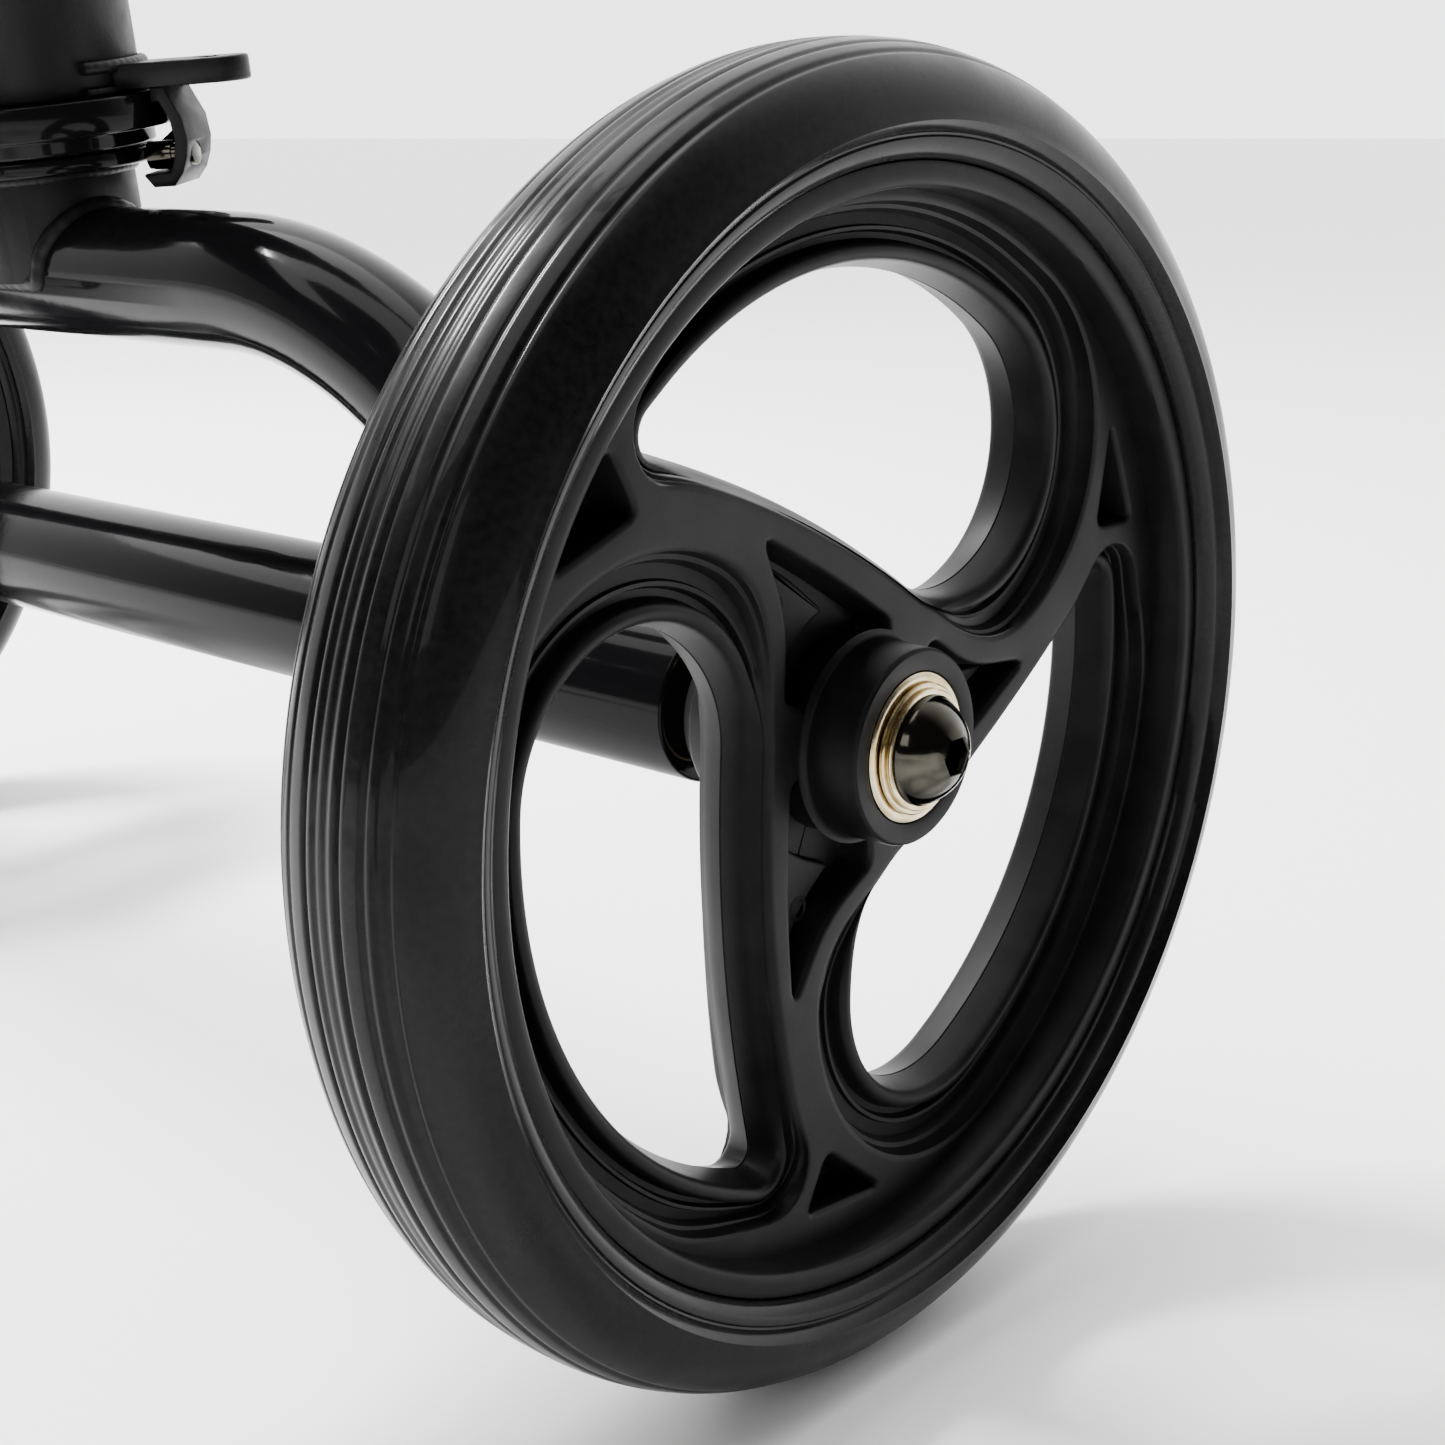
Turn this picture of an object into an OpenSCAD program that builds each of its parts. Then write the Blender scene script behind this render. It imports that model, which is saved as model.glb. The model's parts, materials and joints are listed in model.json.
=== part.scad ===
// Knee scooter: four moulded wheels, a welded steel frame, a folding steering column,
// a height-adjustable handlebar and knee pad, and a bar that brakes both rear tyres.
// Millimetres. +Z is up, the front faces -Y, and the origin is on the floor under the middle.

/* [Wheels] */
// Outer radius of the tyre
tyre_r = 97.5; // [95:0.5:100]
// Width of the tyre
tyre_w = 31; // [28:0.5:34]
// Radius of the seam between tyre and rim
seam_r = 81.5; // [81:0.25:82]
// Radius of the hub boss
hub_r = 14.5; // [13.5:0.25:15]
// Radius of each spoke opening's round end
bulb_r = 24; // [22:0.5:25]

/* [Running gear] */
// Distance between the front and rear axles
wheelbase = 560; // [540:10:600]
// Distance from the centre plane to each wheel's outboard seam
seam_x = 199; // [199:1:210]
// Radius of the cross tubes
bar_r = 12.7; // [12.6:0.1:13.5]
// Radius of the bent arch tubes
arch_r = 12.2; // [11.5:0.1:12.3]
// Height of the arches above the axles
arch_rise = 60; // [58:1:62]
// Centreline radius of the arch bends
bend_r = 82; // [78:1:84]

/* [Steering] */
// Rearward lean of the steering axis in degrees
rake = 7; // [5:0.5:8]
// Radius of the head tube
head_r = 21; // [20:0.5:22]
// Radius of the steering column's outer tube
column_r = 19; // [18:0.5:19]
// Height of the fold pivot above the axle along the steering axis
pivot_s = 430; // [425:1:440]
// Height of the handlebar above the axle along the steering axis
grip_s = 790; // [780:5:820]
// Half of the handlebar's length
grip_x = 200; // [190:5:205]

/* [Knee pad] */
// Length of the knee pad
pad_l = 340; // [300:10:360]
// Width of the knee pad
pad_w = 190; // [170:10:210]
// Thickness of the knee pad
pad_t = 56; // [50:1:60]
// Place of the seat post along the scooter
post_y = 70; // [50:5:90]
// Height of the knee pad's underside
pad_z = 444; // [440:1:450]

/* [Hidden] */
$fn = 64;
RUN = 0.1;               // radial play of sliding tubes
BOLT_R = 3.95;           // M8 bolt shank
head_r8 = 8.1;           // domed head of the M8 axle bolts
head_h8 = 5.6;
BEARING_R = 11;          // 608 bearing, outside
BEARING_T = 7;
BLACK = [0.07, 0.07, 0.075];
STEEL = [0.75, 0.72, 0.66];
ZINC = [0.78, 0.66, 0.40];
RUBBER = [0.12, 0.12, 0.13];

// Wheel, in its own frame: z is outboard, with zero at the outboard seam.
tyre_mid = -11;          // middle plane of the tyre
rim_w = 22;              // width of the rim band
web_top = -7;            // faces of the spoke web
web_bottom = -21;
hub_top = 1.5;
hub_bottom = -33;
band_r = 76.5;           // inside radius of the rim band
open_r = 70;             // radius that the openings reach
bulb_a = 57;             // direction of an opening's round end, seen from the hub
spoke_r = 200;           // radius of the spoke's long edge
tip_r = 5.5;             // round of an opening's narrow end
step_w = 5.5;            // width of the relief around an opening
step_t = 3;              // depth of that relief
pocket_t = 5;            // depth of the lightening pockets

// Steering axis stations, measured from the axle along the axis.
crown_s = 79;
crown_r = 17;
steerer_top = 236;
cup_s = 91.6;
tube_s = 196;
nut_s = 206.4;
column_s = 216.6;
lock_s = 365;            // fold lock
block_s = 400;           // foot of the hinge block
clamp_s = 640;           // height clamp
steer_r = 14.3;
post_r = 16;             // sliding inner post
seat_post_r = 14;
socket_r = 17;
spine_r = 19;
spine_s = 135;
bar_half = 162;          // half length of the cross tubes
axle_h = tyre_r;
arch_x = 56;             // where the arch starts to bend
arch_bore = arch_r - 2.3;
arch_end = 16;           // angle at which the bend dips into the cross tube
spine_y = -wheelbase / 2 + spine_s * sin(rake);
spine_z = axle_h + spine_s * cos(rake);
socket_top = 330;
collar_h = 22;           // height of the split clamps
lever_pin_x = 22.9;      // place of a clamp lever's pin beside the clamp

// ---- helpers ----

function polar(r, a) = [r * cos(a), r * sin(a)];
function angle_of(v) = atan2(v[1], v[0]);
// Points of an arc, both ends included.
function arc(c, r, a0, a1, n) = [for (i = [0:n]) c + polar(r, a0 + (a1 - a0) * i / n)];
// The point at distance ra from the origin and rb from c, to the right of the line to c.
function meet(ra, c, rb) =
    let (d = norm(c), x = (ra * ra - rb * rb + d * d) / (2 * d), y = sqrt(ra * ra - x * x),
         ux = c / d)
    x * ux + y * [ux[1], -ux[0]];
// A convex counter-clockwise polygon with its corners rounded.
function rounded(p, r) = [for (i = [0:len(p) - 1])
    let (a = p[(i + len(p) - 1) % len(p)], b = p[i], c = p[(i + 1) % len(p)],
         u = (a - b) / norm(a - b), v = (c - b) / norm(c - b),
         half = acos(u * v) / 2,
         m = b + (u + v) / norm(u + v) * r / sin(half),
         a0 = angle_of(b - a) - 90, turn = 180 - 2 * half)
    each arc(m, r, a0, a0 + turn, 5)];

// A tube along +Z.
module tube(r, inner, h) {
    difference() {
        cylinder(r = r, h = h);
        translate([0, 0, -1]) cylinder(r = inner, h = h + 2);
    }
}
// A cylinder along X, centred.
module rod_x(r, l) {
    rotate([0, 90, 0]) cylinder(r = r, h = l, center = true);
}
module box(size, at) {
    translate(at) cube(size, center = true);
}
// Puts a wheel's frame at its axle: side -1 is the rider's right.
module at_wheel(side, y) {
    translate([side * seam_x, y, axle_h]) rotate([90, 0, side * 90]) children();
}
// Puts children in the steering frame: z runs up the steering axis from the front axle.
module at_steering() {
    translate([0, -wheelbase / 2, axle_h]) rotate([-rake, 0, 0]) children();
}

// ---- wheels ----

// An opening is bounded by an arc around the hub, a round end, a spoke's long edge
// and a small round at its narrow end, each tangent to the next.
bulb_c = polar(open_r - bulb_r, bulb_a);
spoke_c = bulb_c - polar(spoke_r + bulb_r, bulb_a);
tip_c = meet(open_r - tip_r, spoke_c, spoke_r + tip_r);

// Outline of one opening. It is pushed outwards by grow along the hub and rim sides,
// and drawn in by tuck along the spoke's long edge and at the narrow end.
function opening(grow, tuck) =
    let (t0 = angle_of(tip_c), t1 = angle_of(spoke_c - tip_c) + 360,
         s0 = angle_of(tip_c - spoke_c), n = 10, push = grow + tuck)
    concat(
        [for (i = [0:2 * n]) let (k = i / (2 * n))
            bulb_c + polar(bulb_r - tuck + push * min(1, 3 * k), bulb_a - 180 + 180 * k)],
        [for (i = [1:n]) let (k = i / n)
            polar(open_r - tuck + push * min(1, 2 * (1 - k)), bulb_a + (t0 - bulb_a) * k)],
        [for (i = [1:n]) tip_c + polar(tip_r - tuck, t0 + (t1 - t0) * i / n)],
        [for (i = [1:n - 1]) spoke_c + polar(spoke_r + tuck, s0 + (bulb_a - s0) * i / n)]);

rim_pocket = [[69.6, 25.7], [62.3, 41.1], [55.8, 24.9]];
hub_pocket = [[6, 17.6], [-21.2, 30.3], [-15.5, 14.7]];

module thirds() {
    for (k = [0:2]) rotate(k * 120) children();
}
// A cut of depth t into both faces of the web.
module both_faces(t) {
    translate([0, 0, web_top - t]) linear_extrude(t + 1) children();
    translate([0, 0, web_bottom - 1]) linear_extrude(t + 1) children();
}
module rim() {
    color(BLACK) difference() {
        union() {
            translate([0, 0, web_bottom]) cylinder(r = band_r + 1, h = web_top - web_bottom);
            translate([0, 0, tyre_mid - rim_w / 2]) tube(seam_r, band_r, rim_w);
            translate([0, 0, hub_bottom]) cylinder(r = hub_r, h = hub_top - hub_bottom);
        }
        thirds() {
            translate([0, 0, web_bottom - 1]) linear_extrude(web_top - web_bottom + 2)
                polygon(opening(0, 0));
            both_faces(step_t) polygon(opening(step_w, 1.5));
            both_faces(pocket_t) polygon(rounded(rim_pocket, 1.6));
            both_faces(pocket_t) polygon(rounded(hub_pocket, 1.2));
        }
        translate([0, 0, hub_top - BEARING_T]) cylinder(r = BEARING_R, h = BEARING_T + 1);
        translate([0, 0, hub_bottom - 1]) cylinder(r = BEARING_R, h = BEARING_T + 1);
        translate([0, 0, hub_bottom - 1]) cylinder(r = BOLT_R + 3, h = 40);
    }
}
// The tyre's section, a flattened round around the rim band.
function tyre_side(k) =
    let (a = -90 + 180 * k, e = 0.8)
    [seam_r + (tyre_r - seam_r) * pow(cos(a), e),
     tyre_mid + tyre_w / 2 * sign(sin(a)) * pow(abs(sin(a)), e)];
module tyre() {
    color(RUBBER) rotate_extrude($fn = 96) polygon(concat(
        [for (i = [1:19]) tyre_side(i / 20)],
        [[seam_r, tyre_mid + rim_w / 2], [seam_r, tyre_mid - rim_w / 2]]));
}
module bearings() {
    color(ZINC) {
        translate([0, 0, hub_top - BEARING_T]) tube(BEARING_R, BOLT_R + 0.05, BEARING_T + 0.2);
        translate([0, 0, hub_bottom - 0.2]) tube(BEARING_R, BOLT_R + 0.05, BEARING_T + 0.2);
    }
}

// ---- axles and cross tubes, shared by front and rear ----

module cross_tube() {
    color(BLACK) difference() {
        rod_x(bar_r, 2 * bar_half);
        rod_x(bar_r - 2.8, 230);
        rod_x(BOLT_R, 2 * bar_half + 2);
    }
}
// A straight tube with a bend at each end, coped onto the cross tube.
module arch() {
    color(BLACK) difference() {
        union() {
            translate([-arch_x, 0, arch_rise]) rotate([0, 90, 0])
                tube(arch_r, arch_bore, 2 * arch_x);
            for (side = [-1, 1]) translate([side * arch_x, 0, arch_rise - bend_r])
                rotate([90, 0, side > 0 ? 0 : 180]) rotate(arch_end)
                    rotate_extrude(angle = 90 - arch_end) translate([bend_r, 0]) difference() {
                        circle(arch_r);
                        circle(arch_bore);
                    }
        }
        rod_x(bar_r, 2 * bar_half);
    }
}
// A button-head axle bolt through one wheel, in the wheel's frame.
module axle_bolt() {
    head_z = hub_top + 1.8;
    dome_r = (head_r8 * head_r8 + head_h8 * head_h8) / (2 * head_h8);
    color(STEEL) difference() {
        union() {
            translate([0, 0, -75]) cylinder(r = BOLT_R, h = 75 + head_z + 1);
            translate([0, 0, head_z]) rotate_extrude() intersection() {
                translate([0, head_h8 - dome_r]) circle(r = dome_r);
                square([head_r8, head_h8]);
            }
        }
        translate([0, 0, head_z + 2]) cylinder(r = 2.9, h = 6, $fn = 6);
    }
}
module axle_bolts(y) {
    for (side = [-1, 1]) at_wheel(side, y) axle_bolt();
}
// The washer under each bolt head, and the longer spacer on the inboard side.
module washers(y) {
    inner_z = bar_half - seam_x;
    color(ZINC) for (side = [-1, 1]) at_wheel(side, y) {
        translate([0, 0, hub_top + 0.3]) union() {
            tube(9.6, BOLT_R, 0.8);
            tube(8.9, BOLT_R, 1.5);
        }
        translate([0, 0, inner_z]) tube(6.5, BOLT_R, hub_bottom - 0.3 - inner_z);
    }
}

// ---- frame ----

module head_tube() {
    color(BLACK) at_steering() translate([0, 0, cup_s]) tube(head_r, head_r - 3.5, tube_s - cup_s);
}
module headset_lower_cup() {
    color(BLACK) at_steering() difference() {
        union() {
            translate([0, 0, crown_s + 3.3]) cylinder(r = 22, h = 4);
            translate([0, 0, crown_s + 6.3]) cylinder(r = 26, h = cup_s - crown_s - 6.3);
        }
        translate([0, 0, crown_s]) cylinder(r = 20.5, h = 11.4);
        translate([0, 0, crown_s]) cylinder(r = 16, h = 30);
    }
}
module headset_upper_cup() {
    color(BLACK) at_steering() difference() {
        translate([0, 0, tube_s]) cylinder(r = 24, h = 10);
        translate([0, 0, tube_s + 1.5]) cylinder(r = 20.5, h = 12);
        translate([0, 0, tube_s - 1]) cylinder(r = 16, h = 12);
    }
}
module headset_bearings() {
    color(STEEL) at_steering() {
        translate([0, 0, crown_s + 3.6]) tube(20.5, steer_r + RUN, 7.6);
        translate([0, 0, tube_s + 1.5]) tube(20.5, steer_r + RUN, 8);
    }
}
module spine_path(r, l) {
    translate([0, spine_y, spine_z]) rotate([-90 - rake, 0, 0]) cylinder(r = r, h = l);
}
module spine_tube() {
    reach = (wheelbase / 2 - spine_y) / cos(rake) - 1;
    color(BLACK) difference() {
        spine_path(spine_r, reach);
        spine_path(spine_r - 2.5, reach - 30);
        at_steering() cylinder(r = head_r, h = 250);
        translate([0, wheelbase / 2, axle_h + arch_rise]) rod_x(arch_r, 120);
    }
}
module at_rear() {
    translate([0, wheelbase / 2, axle_h]) children();
}
module rear_arch() {
    at_rear() arch();
}
module rear_crossbar() {
    at_rear() cross_tube();
}
module seat_socket() {
    color(BLACK) difference() {
        translate([0, post_y, spine_z - 60]) cylinder(r = socket_r, h = socket_top - spine_z + 60);
        translate([0, post_y, spine_z - 61]) cylinder(r = seat_post_r + RUN, h = 200);
        spine_path(spine_r, 600);
        box([60, 60, 100], [0, post_y, 138]);
    }
}
// A split clamp around a tube: ring, two ears in front and a cross hole in them.
module split_clamp(inner, h) {
    difference() {
        union() {
            cylinder(r = inner + 5.5, h = h);
            box([22, 16, h], [0, -inner - 9, h / 2]);
        }
        translate([0, 0, -1]) cylinder(r = inner, h = h + 2);
        box([3, 30, h + 2], [0, -inner - 13, h / 2]);
        translate([0, -inner - 11, h / 2]) rod_x(3.1, 40);
    }
}
// The cross bolt of such a clamp, with a nut at -X and a fork for the lever at +X.
module clamp_bolt(inner, h) {
    translate([0, -inner - 11, h / 2]) {
        rod_x(3.1, 34);
        translate([-13.5, 0, 0]) rod_x(6, 5);
        translate([13.5, 0, 0]) rod_x(6, 5);
        translate([lever_pin_x / 2 + 8, 0, 0]) rod_x(3.1, lever_pin_x - 16);
        translate([lever_pin_x, 0, 0]) cylinder(r = 2, h = 17, center = true);
    }
}
// A forked cam lever that lies back along the tube and swings out about an upright pin.
module cam_lever(inner, h) {
    translate([lever_pin_x, -inner - 11, h / 2]) difference() {
        union() {
            cylinder(r = 6.5, h = 14, center = true);
            linear_extrude(12, center = true) polygon(rounded(
                [[-2, 0], [6, 0], [11, 52], [6, 54]], 1.6));
        }
        cylinder(r = 2.08, h = 20, center = true);
        cylinder(r = 7.6, h = 6.8, center = true);
    }
}
module at_seat_clamp() {
    translate([0, post_y, socket_top - 24]) children();
}
module seat_clamp_collar() {
    color(BLACK) at_seat_clamp() split_clamp(socket_r, collar_h);
}
module seat_clamp_bolt() {
    color(STEEL) at_seat_clamp() clamp_bolt(socket_r, collar_h);
}
module seat_lever() {
    color(BLACK) at_seat_clamp() cam_lever(socket_r, collar_h);
}

// The lug on the head tube, and under it a hollow ear with a screw that points at the crown.
lug_turn = 212;          // direction of the lug, from +X: to the rider's right and forwards
lug_s = cup_s + 0.7;
lug_hole_x = 37;         // distance of the lug's hole from the steering axis
ear_s = 74.6;            // lower end of the ear
ear_w = 12;
screw_s = 80;
module at_lug() {
    at_steering() rotate(lug_turn) children();
}
// The ear seen from the side: distance from the steering axis, and station along it.
module ear_side() {
    polygon([[26.6, lug_s], [26.6, ear_s + 10], [23, ear_s + 7.5], [23, ear_s + 2],
        [24.5, ear_s], [28.6, ear_s], [30.6, ear_s + 2.3],
        [31.8, ear_s + 5], [32.4, ear_s + 8], [32, ear_s + 12], [30.5, ear_s + 15.2],
        [29.4, lug_s]]);
}
module stop_lug() {
    color(BLACK) at_lug() translate([0, 0, lug_s]) difference() {
        linear_extrude(4.5) polygon(concat([[0, 8], [0, -8]], arc([38.6, 0], 5.4, -75, 75, 12)));
        translate([0, 0, -1]) cylinder(r = head_r, h = 8);
        translate([lug_hole_x, 0, -1]) cylinder(r = 2.75, h = 8);
    }
}
module stop_ear() {
    color(BLACK) at_lug() difference() {
        rotate([90, 0, 0]) linear_extrude(ear_w, center = true) ear_side();
        translate([0, -2.5, 0]) rotate([90, 0, 0]) linear_extrude(ear_w, center = true)
            intersection() {
                translate([-2.5, 0]) ear_side();
                translate([20, ear_s + 2.5]) square([20, lug_s - ear_s - 5]);
            }
        translate([30, -1.5, screw_s]) rod_x(2.15, 12);
    }
}
module stop_bolt() {
    color(STEEL) at_lug() translate([0, -1.5, screw_s]) {
        translate([25.4, 0, 0]) rod_x(2.6, 4.8);
        translate([29.9, 0, 0]) rod_x(2.1, 4.2);
    }
}

// ---- fork ----

module front_crossbar() {
    at_steering() cross_tube();
}
module front_arch() {
    at_steering() arch();
}
module fork_crown() {
    color(BLACK) at_steering() difference() {
        translate([0, 0, arch_rise]) cylinder(r = crown_r, h = crown_s - arch_rise);
        translate([0, 0, arch_rise]) rod_x(arch_r, 80);
    }
}
module crown_race() {
    color(BLACK) at_steering() translate([0, 0, crown_s]) tube(21.6, steer_r, 3);
}
module steerer_tube() {
    color(STEEL) at_steering() translate([0, 0, crown_s])
        tube(steer_r, steer_r - 3, steerer_top - crown_s);
}
module headset_locknut() {
    color(BLACK) at_steering() translate([0, 0, nut_s]) difference() {
        cylinder(r = 22, h = 9.8, $fn = 8);
        translate([0, 0, -1]) cylinder(r = steer_r, h = 12);
    }
}
module hinge_base() {
    color(BLACK) at_steering() difference() {
        union() {
            translate([0, 0, column_s]) cylinder(r = column_r, h = block_s - column_s);
            box([44, 30, 16], [0, 0, block_s + 8]);
            for (side = [-1, 1]) {
                box([7, 28, 14], [side * 18.5, 0, pivot_s - 7]);
                translate([side * 18.5, 0, pivot_s]) rod_x(14, 7);
            }
        }
        translate([0, 0, column_s - 1]) cylinder(r = steer_r, h = 20.4);
        translate([0, 0, steerer_top]) cylinder(r = column_r - 2.5, h = block_s - steerer_top - 2);
        translate([0, 0, pivot_s]) rod_x(5, 60);
    }
}
module hinge_pin() {
    color(STEEL) at_steering() translate([0, 0, pivot_s]) {
        rod_x(5, 48);
        translate([-24, 0, 0]) rod_x(8, 4);
        translate([24, 0, 0]) rod_x(8, 4);
    }
}
module at_fold_clamp() {
    at_steering() translate([0, 0, lock_s]) children();
}
module fold_lock_collar() {
    color(BLACK) at_fold_clamp() {
        split_clamp(column_r, collar_h);
    }
    color(STEEL) at_fold_clamp() clamp_bolt(column_r, collar_h);
}
module fold_lever() {
    color(BLACK) at_fold_clamp() cam_lever(column_r, collar_h);
}

// ---- column and handlebar ----

module column_tube() {
    foot = pivot_s + 14.4;
    color(BLACK) at_steering() difference() {
        union() {
            translate([0, 0, pivot_s]) rod_x(13, 29.4);
            box([29.4, 22, 16], [0, 0, pivot_s + 8]);
            box([44, 38, 8], [0, 0, foot + 4]);
            translate([0, 0, foot + 8]) cylinder(r = column_r, h = clamp_s + 26 - foot - 8);
        }
        translate([0, 0, pivot_s]) rod_x(5.08, 60);
        translate([0, 0, foot + 12]) cylinder(r = post_r + RUN, h = 260);
    }
}
module at_height_clamp() {
    at_steering() translate([0, 0, clamp_s]) children();
}
module height_clamp() {
    color(BLACK) at_height_clamp() split_clamp(column_r, collar_h);
}
module height_bolt() {
    color(STEEL) at_height_clamp() clamp_bolt(column_r, collar_h);
}
module height_lever() {
    color(BLACK) at_height_clamp() cam_lever(column_r, collar_h);
}
module inner_post() {
    color(STEEL) at_steering() difference() {
        translate([0, 0, 500]) tube(post_r, post_r - 2, grip_s - 500);
        translate([0, 0, grip_s]) rod_x(17, 60);
    }
}
module stem_clamp() {
    color(BLACK) at_steering() translate([0, 0, grip_s]) difference() {
        rod_x(17, 56);
        rod_x(11.1, 60);
    }
}
module handlebar() {
    color(BLACK) at_steering() translate([0, 0, grip_s]) difference() {
        rod_x(11.1, 2 * grip_x);
        rod_x(9.1, 2 * grip_x + 2);
    }
}
module grips() {
    color(RUBBER) at_steering() for (side = [-1, 1])
        translate([side * (grip_x - 55), 0, grip_s]) difference() {
            union() {
                rod_x(16, 114);
                translate([side * -54, 0, 0]) rod_x(19, 6);
            }
            translate([side * -3, 0, 0]) rod_x(11.1, 116);
        }
}
perch_x = -66;
lever_y = -27;
button_y = -19;
module lever_perch() {
    color(BLACK) at_steering() translate([perch_x, 0, grip_s]) difference() {
        union() {
            rod_x(15.5, 20);
            box([16, 22, 18], [0, lever_y + 6, 0]);
            translate([0, lever_y, 0]) cylinder(r = 8, h = 18, center = true);
        }
        rod_x(11.1, 24);
        translate([0, lever_y, 0]) box([30, 17.2, 9], [0, 0, 0]);
        translate([0, lever_y, 0]) cylinder(r = 3, h = 20, center = true);
        translate([0, button_y, 5]) cylinder(r = 3.7, h = 6);
    }
    color(STEEL) at_steering() translate([perch_x, lever_y, grip_s])
        cylinder(r = 3, h = 18, center = true);
}
module brake_lever() {
    color(BLACK) at_steering() translate([perch_x, lever_y, grip_s]) difference() {
        union() {
            cylinder(r = 7.6, h = 8.4, center = true);
            linear_extrude(8.4, center = true) {
                polygon(rounded([[4, -7.5], [4, 4], [-24, -7], [-24, -18]], 2));
                polygon(rounded([[-18, -17], [-18, -6], [-118, -28], [-118, -37]], 3));
            }
        }
        cylinder(r = 3.05, h = 20, center = true);
    }
}
module park_button() {
    color(STEEL) at_steering() translate([perch_x, button_y, grip_s + 6.7]) {
        cylinder(r = 3.6, h = 4.3);
        translate([0, 0, 4.3]) cylinder(r = 5.5, h = 3);
    }
}

// ---- knee pad ----

module seat_post() {
    color(STEEL) translate([0, post_y, 296]) difference() {
        cylinder(r = seat_post_r, h = pad_z - 6 - 296);
        translate([0, 0, -1]) cylinder(r = seat_post_r - 2.2, h = 140);
    }
}
module seat_plate() {
    color(BLACK) translate([0, post_y, pad_z - 6]) difference() {
        linear_extrude(6) polygon(rounded(
            [[70, -120], [70, 120], [-70, 120], [-70, -120]], 18));
        for (x = [-50, 50], y = [-90, 90]) translate([x, y, -1]) cylinder(r = 3.1, h = 10);
    }
}
module seat_bolts() {
    color(STEEL) for (x = [-50, 50], y = [-90, 90]) translate([x, post_y + y, pad_z - 10]) {
        cylinder(r = 5.5, h = 4);
        cylinder(r = 3.1, h = 10);
    }
}
module knee_pad() {
    pl = pad_l / 2;
    pw = pad_w / 2;
    color(RUBBER) translate([0, post_y, pad_z]) linear_extrude(pad_t) polygon(rounded(
        [[pw, -pl], [pw, pl], [-pw, pl], [-pw, -pl]], 45));
}

// ---- rear brake ----

shoe_a = 62;             // angle of the shoes around the wheel, from the rear
shoe_gap = 3;            // rest gap between shoes and tyres
shoe_at = [wheelbase / 2, axle_h] + polar(tyre_r + 15, shoe_a);
brake_at = shoe_at + polar(34, shoe_a + 90);
module brake_brackets() {
    color(BLACK) difference() {
        for (side = [-1, 1]) translate([side * 44, 0, 0]) rotate([90, 0, 90])
            linear_extrude(4, center = true) polygon(concat(
                [[wheelbase / 2 - 11, axle_h + arch_rise], [wheelbase / 2 + 11, axle_h + arch_rise]],
                arc(brake_at, 8, -20, 160, 8)));
        translate([0, wheelbase / 2, axle_h + arch_rise]) rod_x(arch_r, 112);
        translate([0, brake_at[0], brake_at[1]]) rod_x(3.05, 120);
    }
}
module brake_bar() {
    color(BLACK) {
        translate([0, shoe_at[0], shoe_at[1]]) rod_x(6, 2 * (seam_x + tyre_mid) + 20);
        for (side = [-1, 1]) difference() {
            translate([side * 39.4, 0, 0]) rotate([90, 0, 90]) linear_extrude(4, center = true)
                polygon(concat(arc(brake_at, 7, shoe_a, shoe_a + 180, 8),
                    arc(shoe_at, 7, shoe_a - 180, shoe_a, 8)));
            translate([0, shoe_at[0], shoe_at[1]]) rod_x(5, 120);
        }
        translate([0, brake_at[0], brake_at[1]]) rod_x(3, 100);
    }
}
module brake_shoes() {
    color(RUBBER) for (side = [-1, 1]) difference() {
        translate([side * (seam_x + tyre_mid), wheelbase / 2, axle_h]) rotate([shoe_a, 0, 0])
            translate([0, tyre_r + 7, 0]) cube([18, 11, 24], center = true);
        translate([side * (seam_x + tyre_mid), wheelbase / 2, axle_h])
            rod_x(tyre_r + shoe_gap, 30);
        translate([0, shoe_at[0], shoe_at[1]]) rod_x(6, 500);
    }
}

// ---- output ----

head_tube();
headset_lower_cup();
headset_upper_cup();
headset_bearings();
spine_tube();
rear_arch();
rear_crossbar();
seat_socket();
seat_clamp_collar();
seat_clamp_bolt();
stop_lug();
stop_ear();
stop_bolt();
axle_bolts(wheelbase / 2);  // rear_axle_bolts
washers(wheelbase / 2);  // rear_washers
brake_brackets();
front_crossbar();
front_arch();
fork_crown();
crown_race();
steerer_tube();
headset_locknut();
axle_bolts(-wheelbase / 2);  // front_axle_bolts
washers(-wheelbase / 2);  // front_washers
hinge_base();
hinge_pin();
fold_lock_collar();
at_wheel(-1, -wheelbase / 2) rim();  // front_right_rim
at_wheel(-1, -wheelbase / 2) tyre();  // front_right_tyre
at_wheel(-1, -wheelbase / 2) bearings();  // front_right_bearings
at_wheel(1, -wheelbase / 2) rim();  // front_left_rim
at_wheel(1, -wheelbase / 2) tyre();  // front_left_tyre
at_wheel(1, -wheelbase / 2) bearings();  // front_left_bearings
at_wheel(-1, wheelbase / 2) rim();  // rear_right_rim
at_wheel(-1, wheelbase / 2) tyre();  // rear_right_tyre
at_wheel(-1, wheelbase / 2) bearings();  // rear_right_bearings
at_wheel(1, wheelbase / 2) rim();  // rear_left_rim
at_wheel(1, wheelbase / 2) tyre();  // rear_left_tyre
at_wheel(1, wheelbase / 2) bearings();  // rear_left_bearings
column_tube();
height_clamp();
height_bolt();
fold_lever();
height_lever();
seat_lever();
inner_post();
stem_clamp();
handlebar();
grips();
lever_perch();
brake_lever();
park_button();
seat_post();
seat_plate();
knee_pad();
seat_bolts();
brake_bar();
brake_shoes();
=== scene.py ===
"""Knee scooter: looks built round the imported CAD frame, in metres. MM converts millimetres."""
import json
import math
import random

import bmesh
import bpy
import numpy as np
from mathutils import Matrix, Vector
from mathutils.geometry import delaunay_2d_cdt


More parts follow.
